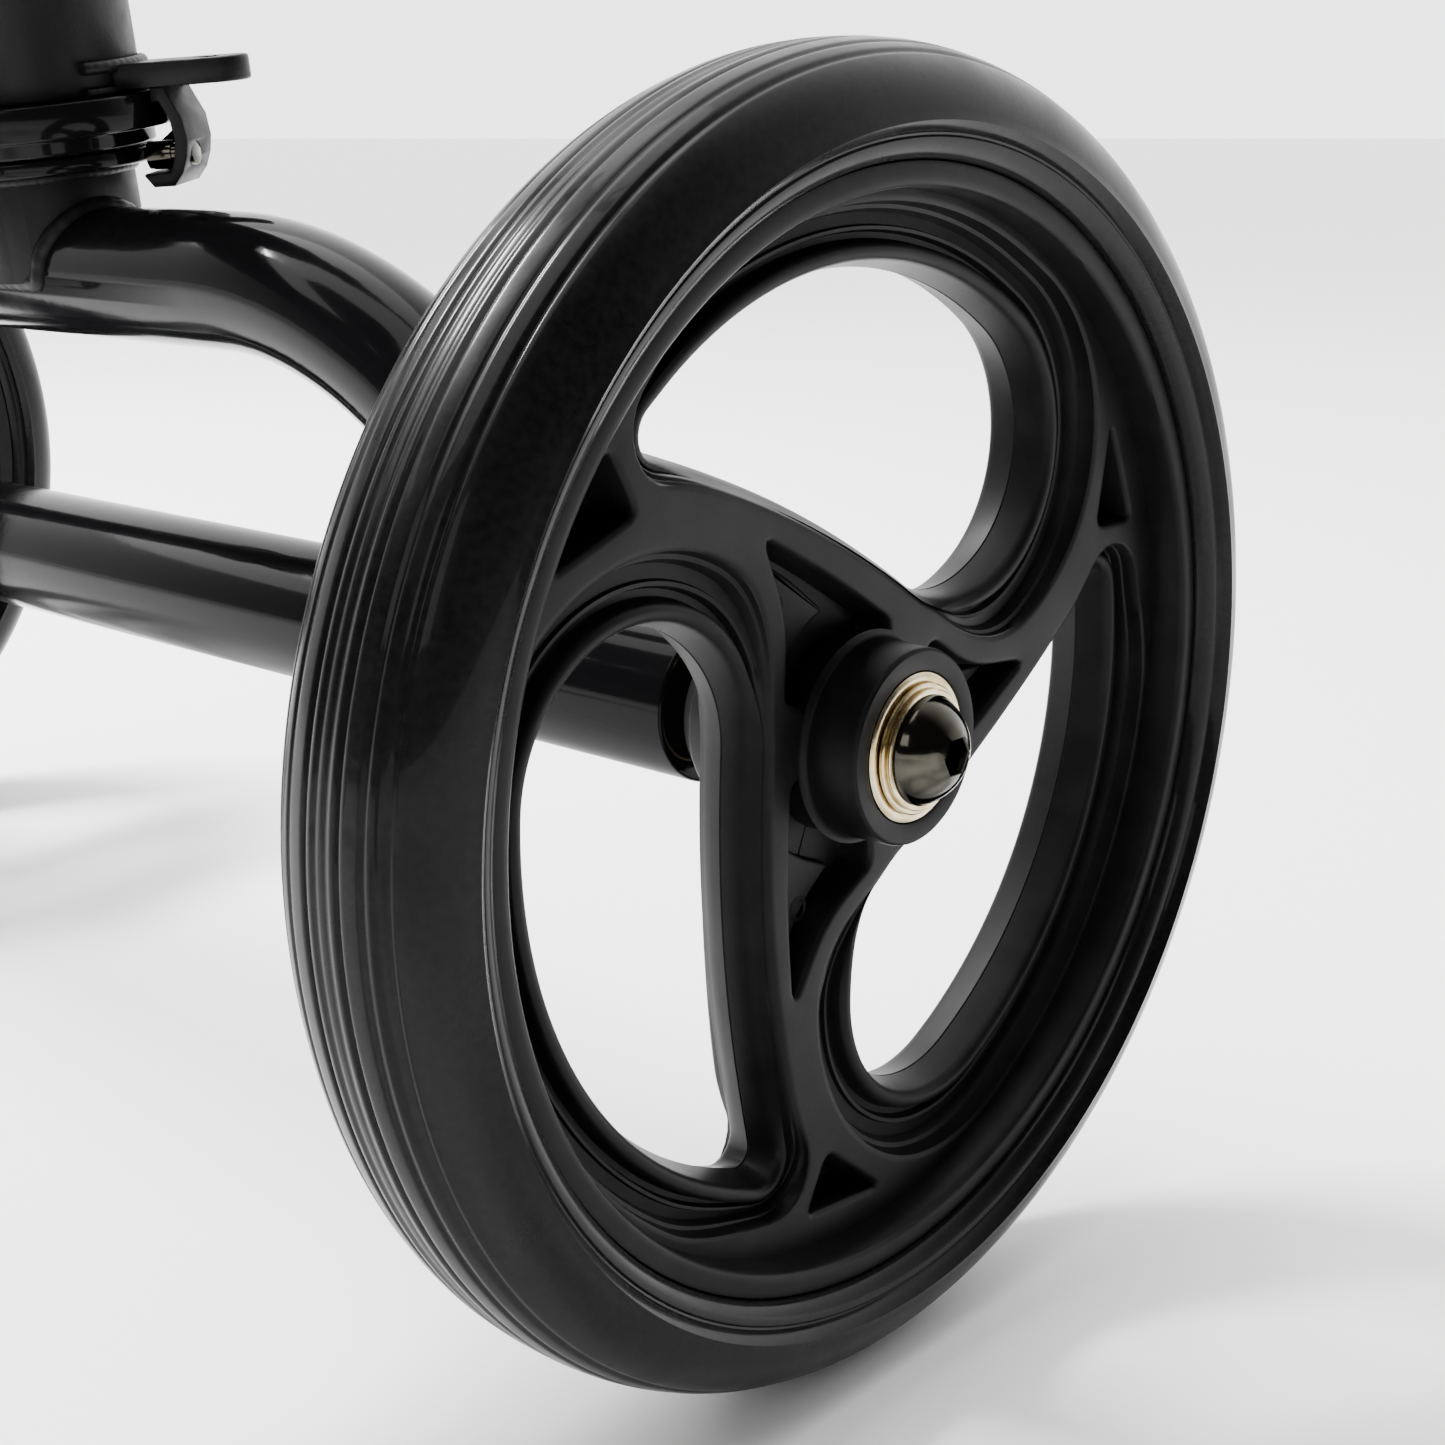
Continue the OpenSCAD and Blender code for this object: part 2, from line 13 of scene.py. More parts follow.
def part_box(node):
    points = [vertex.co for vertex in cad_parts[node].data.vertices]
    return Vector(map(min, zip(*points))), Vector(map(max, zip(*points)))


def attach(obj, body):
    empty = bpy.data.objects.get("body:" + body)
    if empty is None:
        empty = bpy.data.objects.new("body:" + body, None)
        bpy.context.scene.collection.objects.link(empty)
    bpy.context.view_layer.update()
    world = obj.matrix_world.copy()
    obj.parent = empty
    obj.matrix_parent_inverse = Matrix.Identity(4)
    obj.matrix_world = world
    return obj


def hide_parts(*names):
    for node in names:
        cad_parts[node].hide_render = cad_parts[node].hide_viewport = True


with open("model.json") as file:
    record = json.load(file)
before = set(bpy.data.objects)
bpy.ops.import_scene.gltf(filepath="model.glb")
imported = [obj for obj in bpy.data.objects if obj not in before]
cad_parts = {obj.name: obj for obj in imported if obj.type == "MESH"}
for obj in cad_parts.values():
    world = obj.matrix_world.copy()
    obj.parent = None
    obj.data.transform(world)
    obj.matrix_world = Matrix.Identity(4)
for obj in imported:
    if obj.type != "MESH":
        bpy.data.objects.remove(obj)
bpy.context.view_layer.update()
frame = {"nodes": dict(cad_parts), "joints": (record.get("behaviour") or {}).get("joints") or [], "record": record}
MM = 0.001
NODES = frame["nodes"]
JOINTS = {j["name"]: j for j in frame["joints"]}

# ---- places that come from the frame ----

WHEELS = ("front_right", "front_left", "rear_right", "rear_left")
SEAM_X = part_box("front_left_rim")[1].x - 1.5 * MM      # outboard seam plane of the wheels
AXLE_Z = JOINTS["front_right_spin"]["pos_m"][2]
AXLE_Y = JOINTS["rear_right_spin"]["pos_m"][1]
TYRE_R = 97.5
SEAM_R = 81.5
STEER_AXIS = Vector(JOINTS["steering"]["axis"])
RAKE = math.atan2(STEER_AXIS.y, STEER_AXIS.z)
STEER_FRAME = Matrix.Translation((0, -AXLE_Y, AXLE_Z)) @ Matrix.Rotation(-RAKE, 4, "X")


def wheel_frame(name):
    """Wheel-local millimetres to the row frame: z is outboard, y is up."""
    side = -1 if "right" in name else 1
    y = -AXLE_Y if "front" in name else AXLE_Y
    turn = Matrix.Rotation(side * math.pi / 2, 4, "Z") @ Matrix.Rotation(math.pi / 2, 4, "X")
    return Matrix.Translation((side * SEAM_X, y, AXLE_Z)) @ turn @ Matrix.Scale(MM, 4)


# ---- camera ----

def make_camera():
    """Behind and above the rider's right, close to the right front wheel."""
    r = SEAM_R * MM
    place = Vector((-SEAM_X - 2.140 * r, -AXLE_Y + 2.935 * r, AXLE_Z + 1.043 * r))
    right = Vector((-0.75149, -0.65975, 0.0))
    up = Vector((0.17578, -0.20022, 0.96385))
    back = right.cross(up)
    data = bpy.data.cameras.new("camera")
    data.lens = 53.23
    data.sensor_width = 36.0
    data.clip_start = 0.01
    data.clip_end = 60.0
    camera = bpy.data.objects.new("camera", data)
    camera.matrix_world = Matrix.Translation(place) @ Matrix((right, up, back)).transposed().to_4x4()
    bpy.context.scene.collection.objects.link(camera)
    bpy.context.scene.camera = camera


make_camera()

# ---- materials ----

def new_material(name, **values):
    """A Principled material. Values set its sockets, with underscores for spaces."""
    m = bpy.data.materials.new(name)
    m.use_nodes = True
    shader = m.node_tree.nodes["Principled BSDF"]
    for key, value in values.items():
        socket = shader.inputs[key.replace("_", " ")]
        socket.default_value = (*value, 1.0) if isinstance(value, tuple) else value
    return m


def add(m, kind, **values):
    node = m.node_tree.nodes.new(kind)
    for key, value in values.items():
        if hasattr(node, key):
            setattr(node, key, value)
        else:
            node.inputs[key.replace("_", " ")].default_value = value
    return node


def link(m, a, out, b, socket):
    m.node_tree.links.new(a.outputs[out], b.inputs[socket])


def object_noise(m, scale, detail=3.0):
    """Noise in the piece's own coordinates, in metres."""
    place = add(m, "ShaderNodeTexCoord")
    tex = add(m, "ShaderNodeTexNoise", Scale=scale, Detail=detail, Roughness=0.5)
    link(m, place, "Object", tex, "Vector")
    return tex


def ranged(m, source, low, high, from_low=0.3, from_high=0.7, out="Fac"):
    """The source's values, stretched from from_low..from_high to low..high."""
    node = add(m, "ShaderNodeMapRange")
    for key, value in (("From Min", from_low), ("From Max", from_high), ("To Min", low), ("To Max", high)):
        node.inputs[key].default_value = value
    link(m, source, out, node, "Value")
    return node


def drive_roughness(m, source, low, high):
    node = ranged(m, source, low, high)
    link(m, node, "Result", m.node_tree.nodes["Principled BSDF"], "Roughness")


def drive_colour(m, source, a, b):
    """Base colour that runs from a to b with the source."""
    ramp = add(m, "ShaderNodeValToRGB")
    for element, position, colour in zip(ramp.color_ramp.elements, (0.35, 0.65), (a, b)):
        element.position = position
        element.color = (*colour, 1)
    link(m, source, "Fac", ramp, "Fac")
    link(m, ramp, "Color", m.node_tree.nodes["Principled BSDF"], "Base Color")


def bump(m, sources):
    """Bump from (height node, output, strength, distance in metres) rows, one on another."""
    last = None
    for source, out, strength, distance in sources:
        node = add(m, "ShaderNodeBump", Strength=strength, Distance=distance)
        link(m, source, out, node, "Height")
        if last:
            link(m, last, "Normal", node, "Normal")
        last = node
    link(m, last, "Normal", m.node_tree.nodes["Principled BSDF"], "Normal")


def gloss_paint():
    """Black powder coat under a hard gloss, with the faint waves of sprayed powder."""
    m = new_material("gloss_black_paint", Base_Color=(0.004, 0.004, 0.0045), Roughness=0.14,
                     Specular_IOR_Level=0.07, Coat_Weight=0.07, Coat_Roughness=0.03, Coat_IOR=1.5)
    waves = object_noise(m, 330.0, 2.0)
    specks = object_noise(m, 2600.0, 1.0)
    dust = object_noise(m, 55.0, 5.0)
    drive_roughness(m, dust, 0.07, 0.15)
    bump(m, [(waves, "Fac", 0.12, 0.00015), (specks, "Fac", 0.05, 0.00002)])
    return m


def satin_paint():
    """Black powder coat with a satin, lightly pebbled surface."""
    m = new_material("satin_black_paint", Base_Color=(0.009, 0.009, 0.0095), Roughness=0.42,
                     Specular_IOR_Level=0.14)
    grain = object_noise(m, 1500.0, 3.0)
    waves = object_noise(m, 240.0, 2.0)
    drive_roughness(m, waves, 0.36, 0.5)
    drive_colour(m, object_noise(m, 90.0, 4.0), (0.004, 0.004, 0.0043), (0.007, 0.007, 0.0074))
    bump(m, [(grain, "Fac", 0.35, 0.0001), (waves, "Fac", 0.2, 0.0002)])
    return m


def rim_plastic():
    """Glass-filled nylon: satin black, fine moulded grain, scuffs a little greyer."""
    m = new_material("rim_plastic", Roughness=0.42, Specular_IOR_Level=0.09)
    grain = object_noise(m, 3200.0, 2.0)
    mottle = object_noise(m, 170.0, 5.0)
    flow = object_noise(m, 36.0, 3.0)
    drive_colour(m, mottle, (0.0035, 0.0035, 0.0037), (0.006, 0.006, 0.0063))
    drive_roughness(m, flow, 0.34, 0.5)
    bump(m, [(grain, "Fac", 0.35, 0.00006), (mottle, "Fac", 0.08, 0.00012)])
    return m


def tyre_rubber():
    """Cast polyurethane tread: black, wet-looking, with faint mould drag and a little dust."""
    m = new_material("tyre_rubber", Base_Color=(0.012, 0.012, 0.0125), Roughness=0.27,
                     Specular_IOR_Level=0.06, Coat_Weight=0.1, Coat_Roughness=0.05)
    smear = object_noise(m, 60.0, 6.0)
    fine = object_noise(m, 900.0, 4.0)
    drive_roughness(m, smear, 0.2, 0.4)
    drive_colour(m, fine, (0.003, 0.003, 0.0031), (0.0055, 0.0055, 0.0057))
    bump(m, [(fine, "Fac", 0.12, 0.00008), (smear, "Fac", 0.25, 0.0005)])
    return m


def plated(name, dark, light, roughness, grain):
    """Plated metal with a drawn grain and a little tint."""
    m = new_material(name, Metallic=1.0, Roughness=roughness)
    tint = object_noise(m, 260.0, 4.0)
    lines = object_noise(m, grain, 2.0)
    drive_colour(m, tint, dark, light)
    drive_roughness(m, lines, roughness * 0.75, roughness * 1.35)
    bump(m, [(lines, "Fac", 0.12, 0.00003)])
    return m


def soft_rubber(name, tone, roughness):
    m = new_material(name, Roughness=roughness, Specular_IOR_Level=0.28, Sheen_Weight=0.03,
                     Sheen_Roughness=0.4)
    grain = object_noise(m, 1400.0, 4.0)
    blotch = object_noise(m, 120.0, 4.0)
    drive_colour(m, blotch, tuple(0.75 * t for t in tone), tuple(1.3 * t for t in tone))
    drive_roughness(m, grain, roughness - 0.08, roughness + 0.1)
    bump(m, [(grain, "Fac", 0.4, 0.0001)])
    return m


def vinyl():
    """Upholstery vinyl: pebbled leather grain from cells, with soft creases."""
    m = new_material("pad_cover", Roughness=0.42, Specular_IOR_Level=0.2, Sheen_Weight=0.02,
                     Sheen_Roughness=0.35)
    place = add(m, "ShaderNodeTexCoord")
    cells = add(m, "ShaderNodeTexVoronoi", Scale=620.0, feature="DISTANCE_TO_EDGE")
    link(m, place, "Object", cells, "Vector")
    edges = ranged(m, cells, 0.0, 1.0, from_low=0.0, from_high=0.22, out="Distance")
    folds = object_noise(m, 48.0, 5.0)
    drive_colour(m, folds, (0.006, 0.006, 0.0065), (0.011, 0.011, 0.012))
    drive_roughness(m, folds, 0.34, 0.5)
    bump(m, [(folds, "Fac", 0.25, 0.0012), (edges, "Result", 0.5, 0.00014)])
    return m


MAT = {
    "gloss_black_paint": gloss_paint(),
    "satin_black_paint": satin_paint(),
    "rim_plastic": rim_plastic(),
    "tyre_rubber": tyre_rubber(),
    "zinc": plated("zinc", (0.40, 0.31, 0.15), (0.66, 0.56, 0.38), 0.2, 1800.0),
    "dark_chrome": plated("dark_chrome", (0.035, 0.034, 0.028), (0.06, 0.056, 0.045), 0.1, 900.0),
    "steel": plated("steel", (0.30, 0.30, 0.315), (0.37, 0.37, 0.385), 0.24, 1500.0),
    "grip_rubber": soft_rubber("grip_rubber", (0.008, 0.008, 0.0085), 0.55),
    "brake_rubber": soft_rubber("brake_rubber", (0.025, 0.025, 0.026), 0.68),
    "pad_cover": vinyl(),
    "lever_black": satin_paint(),
    "thread": soft_rubber("thread", (0.05, 0.05, 0.052), 0.6),
}
MAT["lever_black"].name = "lever_black"
SLOT_OF = {row["node"]: row["material_slot"] for row in frame["record"]["subparts"]}


def dress(obj, slot_name):
    obj.data.materials.clear()
    obj.data.materials.append(MAT[slot_name])


# ---- mesh helpers ----

def mesh_object(name, verts, faces, slot_name, body, matrix=None, smooth=35.0):
    """A piece from vertices and faces, smooth-shaded except over sharp edges."""
    mesh = bpy.data.meshes.new(name)
    mesh.from_pydata([tuple(v) for v in verts], [], faces)
    if matrix is not None:
        mesh.transform(matrix)
    mesh.validate()
    mesh.shade_smooth()
    if smooth:
        mesh.set_sharp_from_angle(angle=math.radians(smooth))
    obj = bpy.data.objects.new(name, mesh)
    bpy.context.scene.collection.objects.link(obj)
    obj.data.materials.append(MAT[slot_name])
    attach(obj, body)
    return obj


def ring_faces(start, n, rows, closed_rows=False, flip=False):
    """Quads between successive rings of n vertices."""
    faces = []
    count = rows if closed_rows else rows - 1
    for j in range(count):
        a0 = start + j * n
        b0 = start + ((j + 1) % rows) * n
        for i in range(n):
            k = (i + 1) % n
            quad = (a0 + i, a0 + k, b0 + k, b0 + i)
            faces.append(quad[::-1] if flip else quad)
    return faces


def revolve(profile, n, closed=True):
    """Vertices and faces of a profile of (radius, z) points turned about z."""
    verts = []
    for r, z in profile:
        for i in range(n):
            a = 2 * math.pi * i / n
            verts.append((r * math.cos(a), r * math.sin(a), z))
    return verts, ring_faces(0, n, len(profile), closed)


# ---- wheel rim ----

OPEN_R = 70.0            # radius that the spoke openings reach
BULB_R = 24.0
BULB_A = math.radians(57)
SPOKE_R = 200.0
TIP_R = 5.5
WEB_MID = -14.25         # parting plane of the mould
BAND_IN = 77.7           # inside of the rim's face band
HUB_FOOT = 15.9          # outside of the hub's foot fillet
SECTORS = 3


def polar(r, a):
    return np.array([r * math.cos(a), r * math.sin(a)])


def arc_points(c, r, a0, a1, n):
    a = np.linspace(a0, a1, n, endpoint=False)
    return np.stack([c[0] + r * np.cos(a), c[1] + r * np.sin(a)], 1)


def opening_outline():
    """Evenly spaced points of one opening, counter-clockwise, with its outward normals and three weights.

    The first is 1 where the opening has its stepped border and 0 along the plain spoke edge. The others
    rise to 1 along the rim and round the narrow tip, where the border is narrower."""
    bulb = polar(OPEN_R - BULB_R, BULB_A)
    spoke = bulb - polar(SPOKE_R + BULB_R, BULB_A)
    d = np.linalg.norm(spoke)
    ra, rb = OPEN_R - TIP_R, SPOKE_R + TIP_R
    x = (ra * ra - rb * rb + d * d) / (2 * d)
    y = math.sqrt(ra * ra - x * x)
    ux = spoke / d
    tip = x * ux + y * np.array([ux[1], -ux[0]])
    t0 = math.atan2(tip[1], tip[0])
    t1 = math.atan2(*(spoke - tip)[::-1]) + 2 * math.pi
    s0 = math.atan2(*(tip - spoke)[::-1])
    pieces = [
        (arc_points(bulb, BULB_R, BULB_A - math.pi, BULB_A, 400), "bulb"),
        (arc_points((0, 0), OPEN_R, BULB_A, t0, 400), "rim"),
        (arc_points(tip, TIP_R, t0, t1, 120), "tip"),
        (arc_points(spoke, SPOKE_R, s0, BULB_A, 400), "spoke"),
    ]
    dense = np.concatenate([p for p, _ in pieces])
    kind = np.concatenate([[k] * len(p) for p, k in pieces])
    step = np.linalg.norm(np.roll(dense, -1, 0) - dense, axis=1)
    along = np.concatenate([[0], np.cumsum(step)])
    total = along[-1]
    n = 168
    want = np.arange(n) / n * total
    xs = np.interp(want, along, np.append(dense[:, 0], dense[0, 0]))
    ys = np.interp(want, along, np.append(dense[:, 1], dense[0, 1]))
    pts = np.stack([xs, ys], 1)
    tangent = np.roll(pts, -1, 0) - np.roll(pts, 1, 0)
    tangent /= np.linalg.norm(tangent, axis=1)[:, None]
    normal = np.stack([tangent[:, 1], -tangent[:, 0]], 1)
    starts = {k: along[list(kind).index(k)] for k in ("bulb", "rim", "tip", "spoke")}

    def smooth(a, b, x):
        t = np.clip((x - a) / (b - a), 0, 1)
        return t * t * (3 - 2 * t)
    rise = smooth(starts["bulb"] + 4, starts["bulb"] + 26, want)
    fall = 1 - smooth(starts["tip"] - 4, starts["spoke"] + 9, want)
    weight = rise * fall
    rim_side = smooth(starts["rim"] - 22, starts["rim"] + 8, want)
    tip_side = smooth(starts["tip"] - 20, starts["tip"] + 2, want)
    return pts, normal, weight, rim_side, tip_side


def face_z(x, y):
    """Height of the spokes' face: a little dished towards the hub."""
    r = np.hypot(x, y)
    t = np.clip((r - 24) / (70 - 24), 0, 1)
    return -7.6 + 1.6 * t * t * (3 - 2 * t)


# Sections across an opening's edge as (offset, height) rows from the parting plane to the face.
# A height given as (None, drop) lies that far below the face.
STEPPED = [(-3.05, WEB_MID), (-3.2, WEB_MID + 0.2), (-2.7, -11.6), (-2.2, -9.9), (-2.0, -9.1),
           (-1.6, -8.55), (-1.0, -8.3), (-0.3, -8.3), (0.3, -8.6), (0.65, -9.2), (0.8, -10.7),
           (1.1, -11.1), (2.1, -11.1), (2.4, -10.5), (2.6, -9.9), (3.2, -9.8), (3.5, -10.4),
           (5.5, -10.5), (5.9, -9.4), (6.2, -8.8), (6.9, -8.6), (7.25, -7.6), (7.5, (None, 0.3)),
           (8.0, (None, 0.04)), (8.6, (None, 0.0))]
PLAIN = [(-2.45, WEB_MID), (-2.6, WEB_MID + 0.2), (-2.3, -12.3), (-1.9, -11.2), (-1.6, -10.5),
         (-1.3, -10.0), (-1.1, -9.6), (-0.95, -9.3), (-0.8, -9.0), (-0.7, -8.8), (-0.6, -8.6),
         (-0.52, -8.45), (-0.45, (None, 1.3)), (-0.38, (None, 1.15)), (-0.3, (None, 1.0)),
         (-0.22, (None, 0.85)), (-0.13, (None, 0.7)), (-0.03, (None, 0.55)), (0.1, (None, 0.42)),
         (0.25, (None, 0.3)), (0.42, (None, 0.2)), (0.62, (None, 0.11)), (0.85, (None, 0.05)),
         (1.1, (None, 0.01)), (1.4, (None, 0.0))]


def resolve(height, x, y):
    if isinstance(height, tuple):
        return face_z(x, y) - height[1]
    return np.full_like(x, height)


def opening_rings():
    """Rings of 3D points from the parting plane out to the face, for the outboard side."""
    pts, normal, weight, rim_side, tip_side = opening_outline()
    rings = []
    for (d1, h1), (d0, h0) in zip(STEPPED, PLAIN):
        wide = d1 * np.where(d1 > 0, 1 - 0.2 * rim_side - 0.42 * tip_side, 1.0)
        d = weight * wide + (1 - weight) * d0
        p = pts + normal * d[:, None]
        x, y = p[:, 0], p[:, 1]
        z = weight * resolve(h1, x, y) + (1 - weight) * resolve(h0, x, y)
        rings.append(np.stack([x, y, z], 1))
    return rings


def smooth_loop(corners, n):
    """A closed counter-clockwise loop of n even points from (x, y, reach of the rounding) corners,
    with its outward normals."""
    dense = []
    count = len(corners)
    for i in range(count):
        a, b, c = (np.array(corners[(i + k - 1) % count][:2], float) for k in range(3))
        reach = min(corners[i][2], 0.48 * np.linalg.norm(a - b), 0.48 * np.linalg.norm(c - b))
        start = b + (a - b) / np.linalg.norm(a - b) * reach
        end = b + (c - b) / np.linalg.norm(c - b) * reach
        for t in np.linspace(0, 1, 13):
            dense.append((1 - t) ** 2 * start + 2 * t * (1 - t) * b + t * t * end)
    dense = np.array(dense)
    closed = np.vstack([dense, dense[:1]])
    along = np.concatenate([[0], np.cumsum(np.linalg.norm(np.diff(closed, axis=0), axis=1))])
    want = np.arange(n) / n * along[-1]
    pts = np.stack([np.interp(want, along, closed[:, k]) for k in range(2)], 1)
    tangent = np.roll(pts, -1, 0) - np.roll(pts, 1, 0)
    tangent /= np.linalg.norm(tangent, axis=1)[:, None]
    return pts, np.stack([tangent[:, 1], -tangent[:, 0]], 1)


RIM_POCKET = [(68.9, 23.2, 1.8), (61.6, 39.6, 1.8), (58.8, 23.0, 2.4)]
HUB_POCKET = [(3.0, 10.0, 0.5), (5.6, 16.4, 2.0), (-9.0, 25.3, 9.0), (-23.8, 32.8, 2.2),
              (-18.0, 20.5, 8.0), (-18.4, 8.4, 1.6), (-10.0, 5.0, 0.5)]
PLATFORM = [(-15.6, 12.6, 1.0), (-9.6, 17.2, 3.0), (-5.4, 19.2, 1.0), (-12.6, 24.6, 3.0),
            (-21.5, 29.6, 1.0), (-16.6, 20.5, 4.0)]
HUB_POCKET_FLOOR = -13.2
RIM_POCKET_FLOOR = -13.0
HUB_BORE_R = 7.0
HUB_BACK = -33.0         # inboard end of the hub
BAND_BACK = -23.2        # inboard edge of the rim's band


def pocket_rings(corners, floor, draft, n=96):
    """Rings of a blind pocket from its floor up to the face."""
    pts, normal = smooth_loop(corners, n)
    rows = [(-draft - 0.7, floor), (-draft - 0.2, floor + 0.15), (-draft, floor + 0.6), (-0.25, -9.4),
            (-0.1, (None, 0.75)), (0.05, (None, 0.4)), (0.3, (None, 0.16)), (0.65, (None, 0.03)),
            (1.0, (None, 0.0))]
    rings = []
    for d, height in rows:
        p = pts + normal * d
        x, y = p[:, 0], p[:, 1]
        rings.append(np.stack([x, y, resolve(height, x, y)], 1))
    return rings


def platform_rings(floor):
    """A low step inside a hub pocket, from its top down to the pocket's floor."""
    pts, normal = smooth_loop(PLATFORM, 72)
    rings = []
    for d, rise in ((-0.7, 1.6), (-0.35, 1.55), (-0.1, 1.35), (0.05, 1.0), (0.25, 0.0)):
        p = pts + normal * d
        rings.append(np.column_stack([p, np.full(len(p), floor + rise)]))
    return rings


def pin_mark_rings(x, y, z):
    """The round witness mark of an ejector pin: a shallow ring and dish."""
    rows = [(0.3, -0.25), (1.1, -0.2), (1.35, 0.05), (1.6, 0.12), (1.9, 0.1), (2.05, -0.1)]
    rings = []
    for r, rise in rows:
        ring = circle_ring(r, z + rise, 28)
        ring[:, 0] += x
        ring[:, 1] += y
        rings.append(ring)
    return rings


def turned(rings, k):
    a = 2 * math.pi * k / SECTORS
    m = np.array([[math.cos(a), -math.sin(a), 0], [math.sin(a), math.cos(a), 0], [0, 0, 1]])
    return [r @ m.T for r in rings]


def inside(points, polygon):
    """Which 2D points lie inside a closed polygon."""
    x, y = points[:, 0], points[:, 1]
    hit = np.zeros(len(points), bool)
    px, py = polygon[:, 0], polygon[:, 1]
    for i in range(len(polygon)):
        j = i - 1
        crosses = (py[i] > y) != (py[j] > y)
        with np.errstate(divide="ignore", invalid="ignore"):
            at = (px[j] - px[i]) * (y - py[i]) / (py[j] - py[i]) + px[i]
        hit ^= crosses & (x < at)
    return hit


class Shell:
    """Vertices and faces gathered for one mesh."""

    def __init__(self):
        self.verts = []
        self.faces = []

    def loft(self, rings, flip=False, cap_first=False):
        start = len(self.verts)
        n = len(rings[0])
        for ring in rings:
            self.verts.extend(map(tuple, ring))
        self.faces += ring_faces(start, n, len(rings), flip=flip)
        if cap_first:
            first = tuple(range(start, start + n))
            self.faces.append(first if flip else first[::-1])

    def join(self, verts, faces):
        start = len(self.verts)
        self.verts.extend(map(tuple, verts))
        self.faces += [tuple(start + i for i in f) for f in faces]


def circle_ring(r, z, n):
    a = np.linspace(0, 2 * math.pi, n, endpoint=False)
    return np.stack([r * np.cos(a), r * np.sin(a), np.full(n, z)], 1)


def face_fill(outer, holes, spacing=2.6):
    """Triangles of the face between an outer ring and holes, with its own height inside."""
    loops = [outer] + holes
    coords, edges = [], []
    for loop in loops:
        start = len(coords)
        coords += [Vector(p[:2]) for p in loop]
        edges += [(start + i, start + (i + 1) % len(loop)) for i in range(len(loop))]
    fixed = np.array([list(c) for c in coords])
    grid = []
    size = BAND_IN
    rows = int(2 * size / (spacing * 0.866)) + 1
    for j in range(rows):
        y = -size + j * spacing * 0.866
        for i in range(int(2 * size / spacing) + 1):
            grid.append((-size + (i + 0.5 * (j % 2)) * spacing, y))
    grid = np.array(grid)
    keep = inside(grid, np.array(outer)[:, :2])
    for hole in holes:
        keep &= ~inside(grid, np.array(hole)[:, :2])
    grid = grid[keep]
    near = np.array([np.min(np.hypot(*(fixed - g).T)) for g in grid]) > spacing * 0.45
    coords += [Vector(g) for g in grid[near]]
    out_verts, _, out_faces, *_ = delaunay_2d_cdt(coords, edges, [], 0, 1e-5)
    pos = np.array([list(v) for v in out_verts])
    tri = np.array([f[:3] for f in out_faces])
    mid = pos[tri].mean(1)
    ok = inside(mid, np.array(outer)[:, :2])
    for hole in holes:
        ok &= ~inside(mid, np.array(hole)[:, :2])
    z = face_z(pos[:, 0], pos[:, 1])
    return np.column_stack([pos, z]), [tuple(int(i) for i in t) for t in tri[ok]]


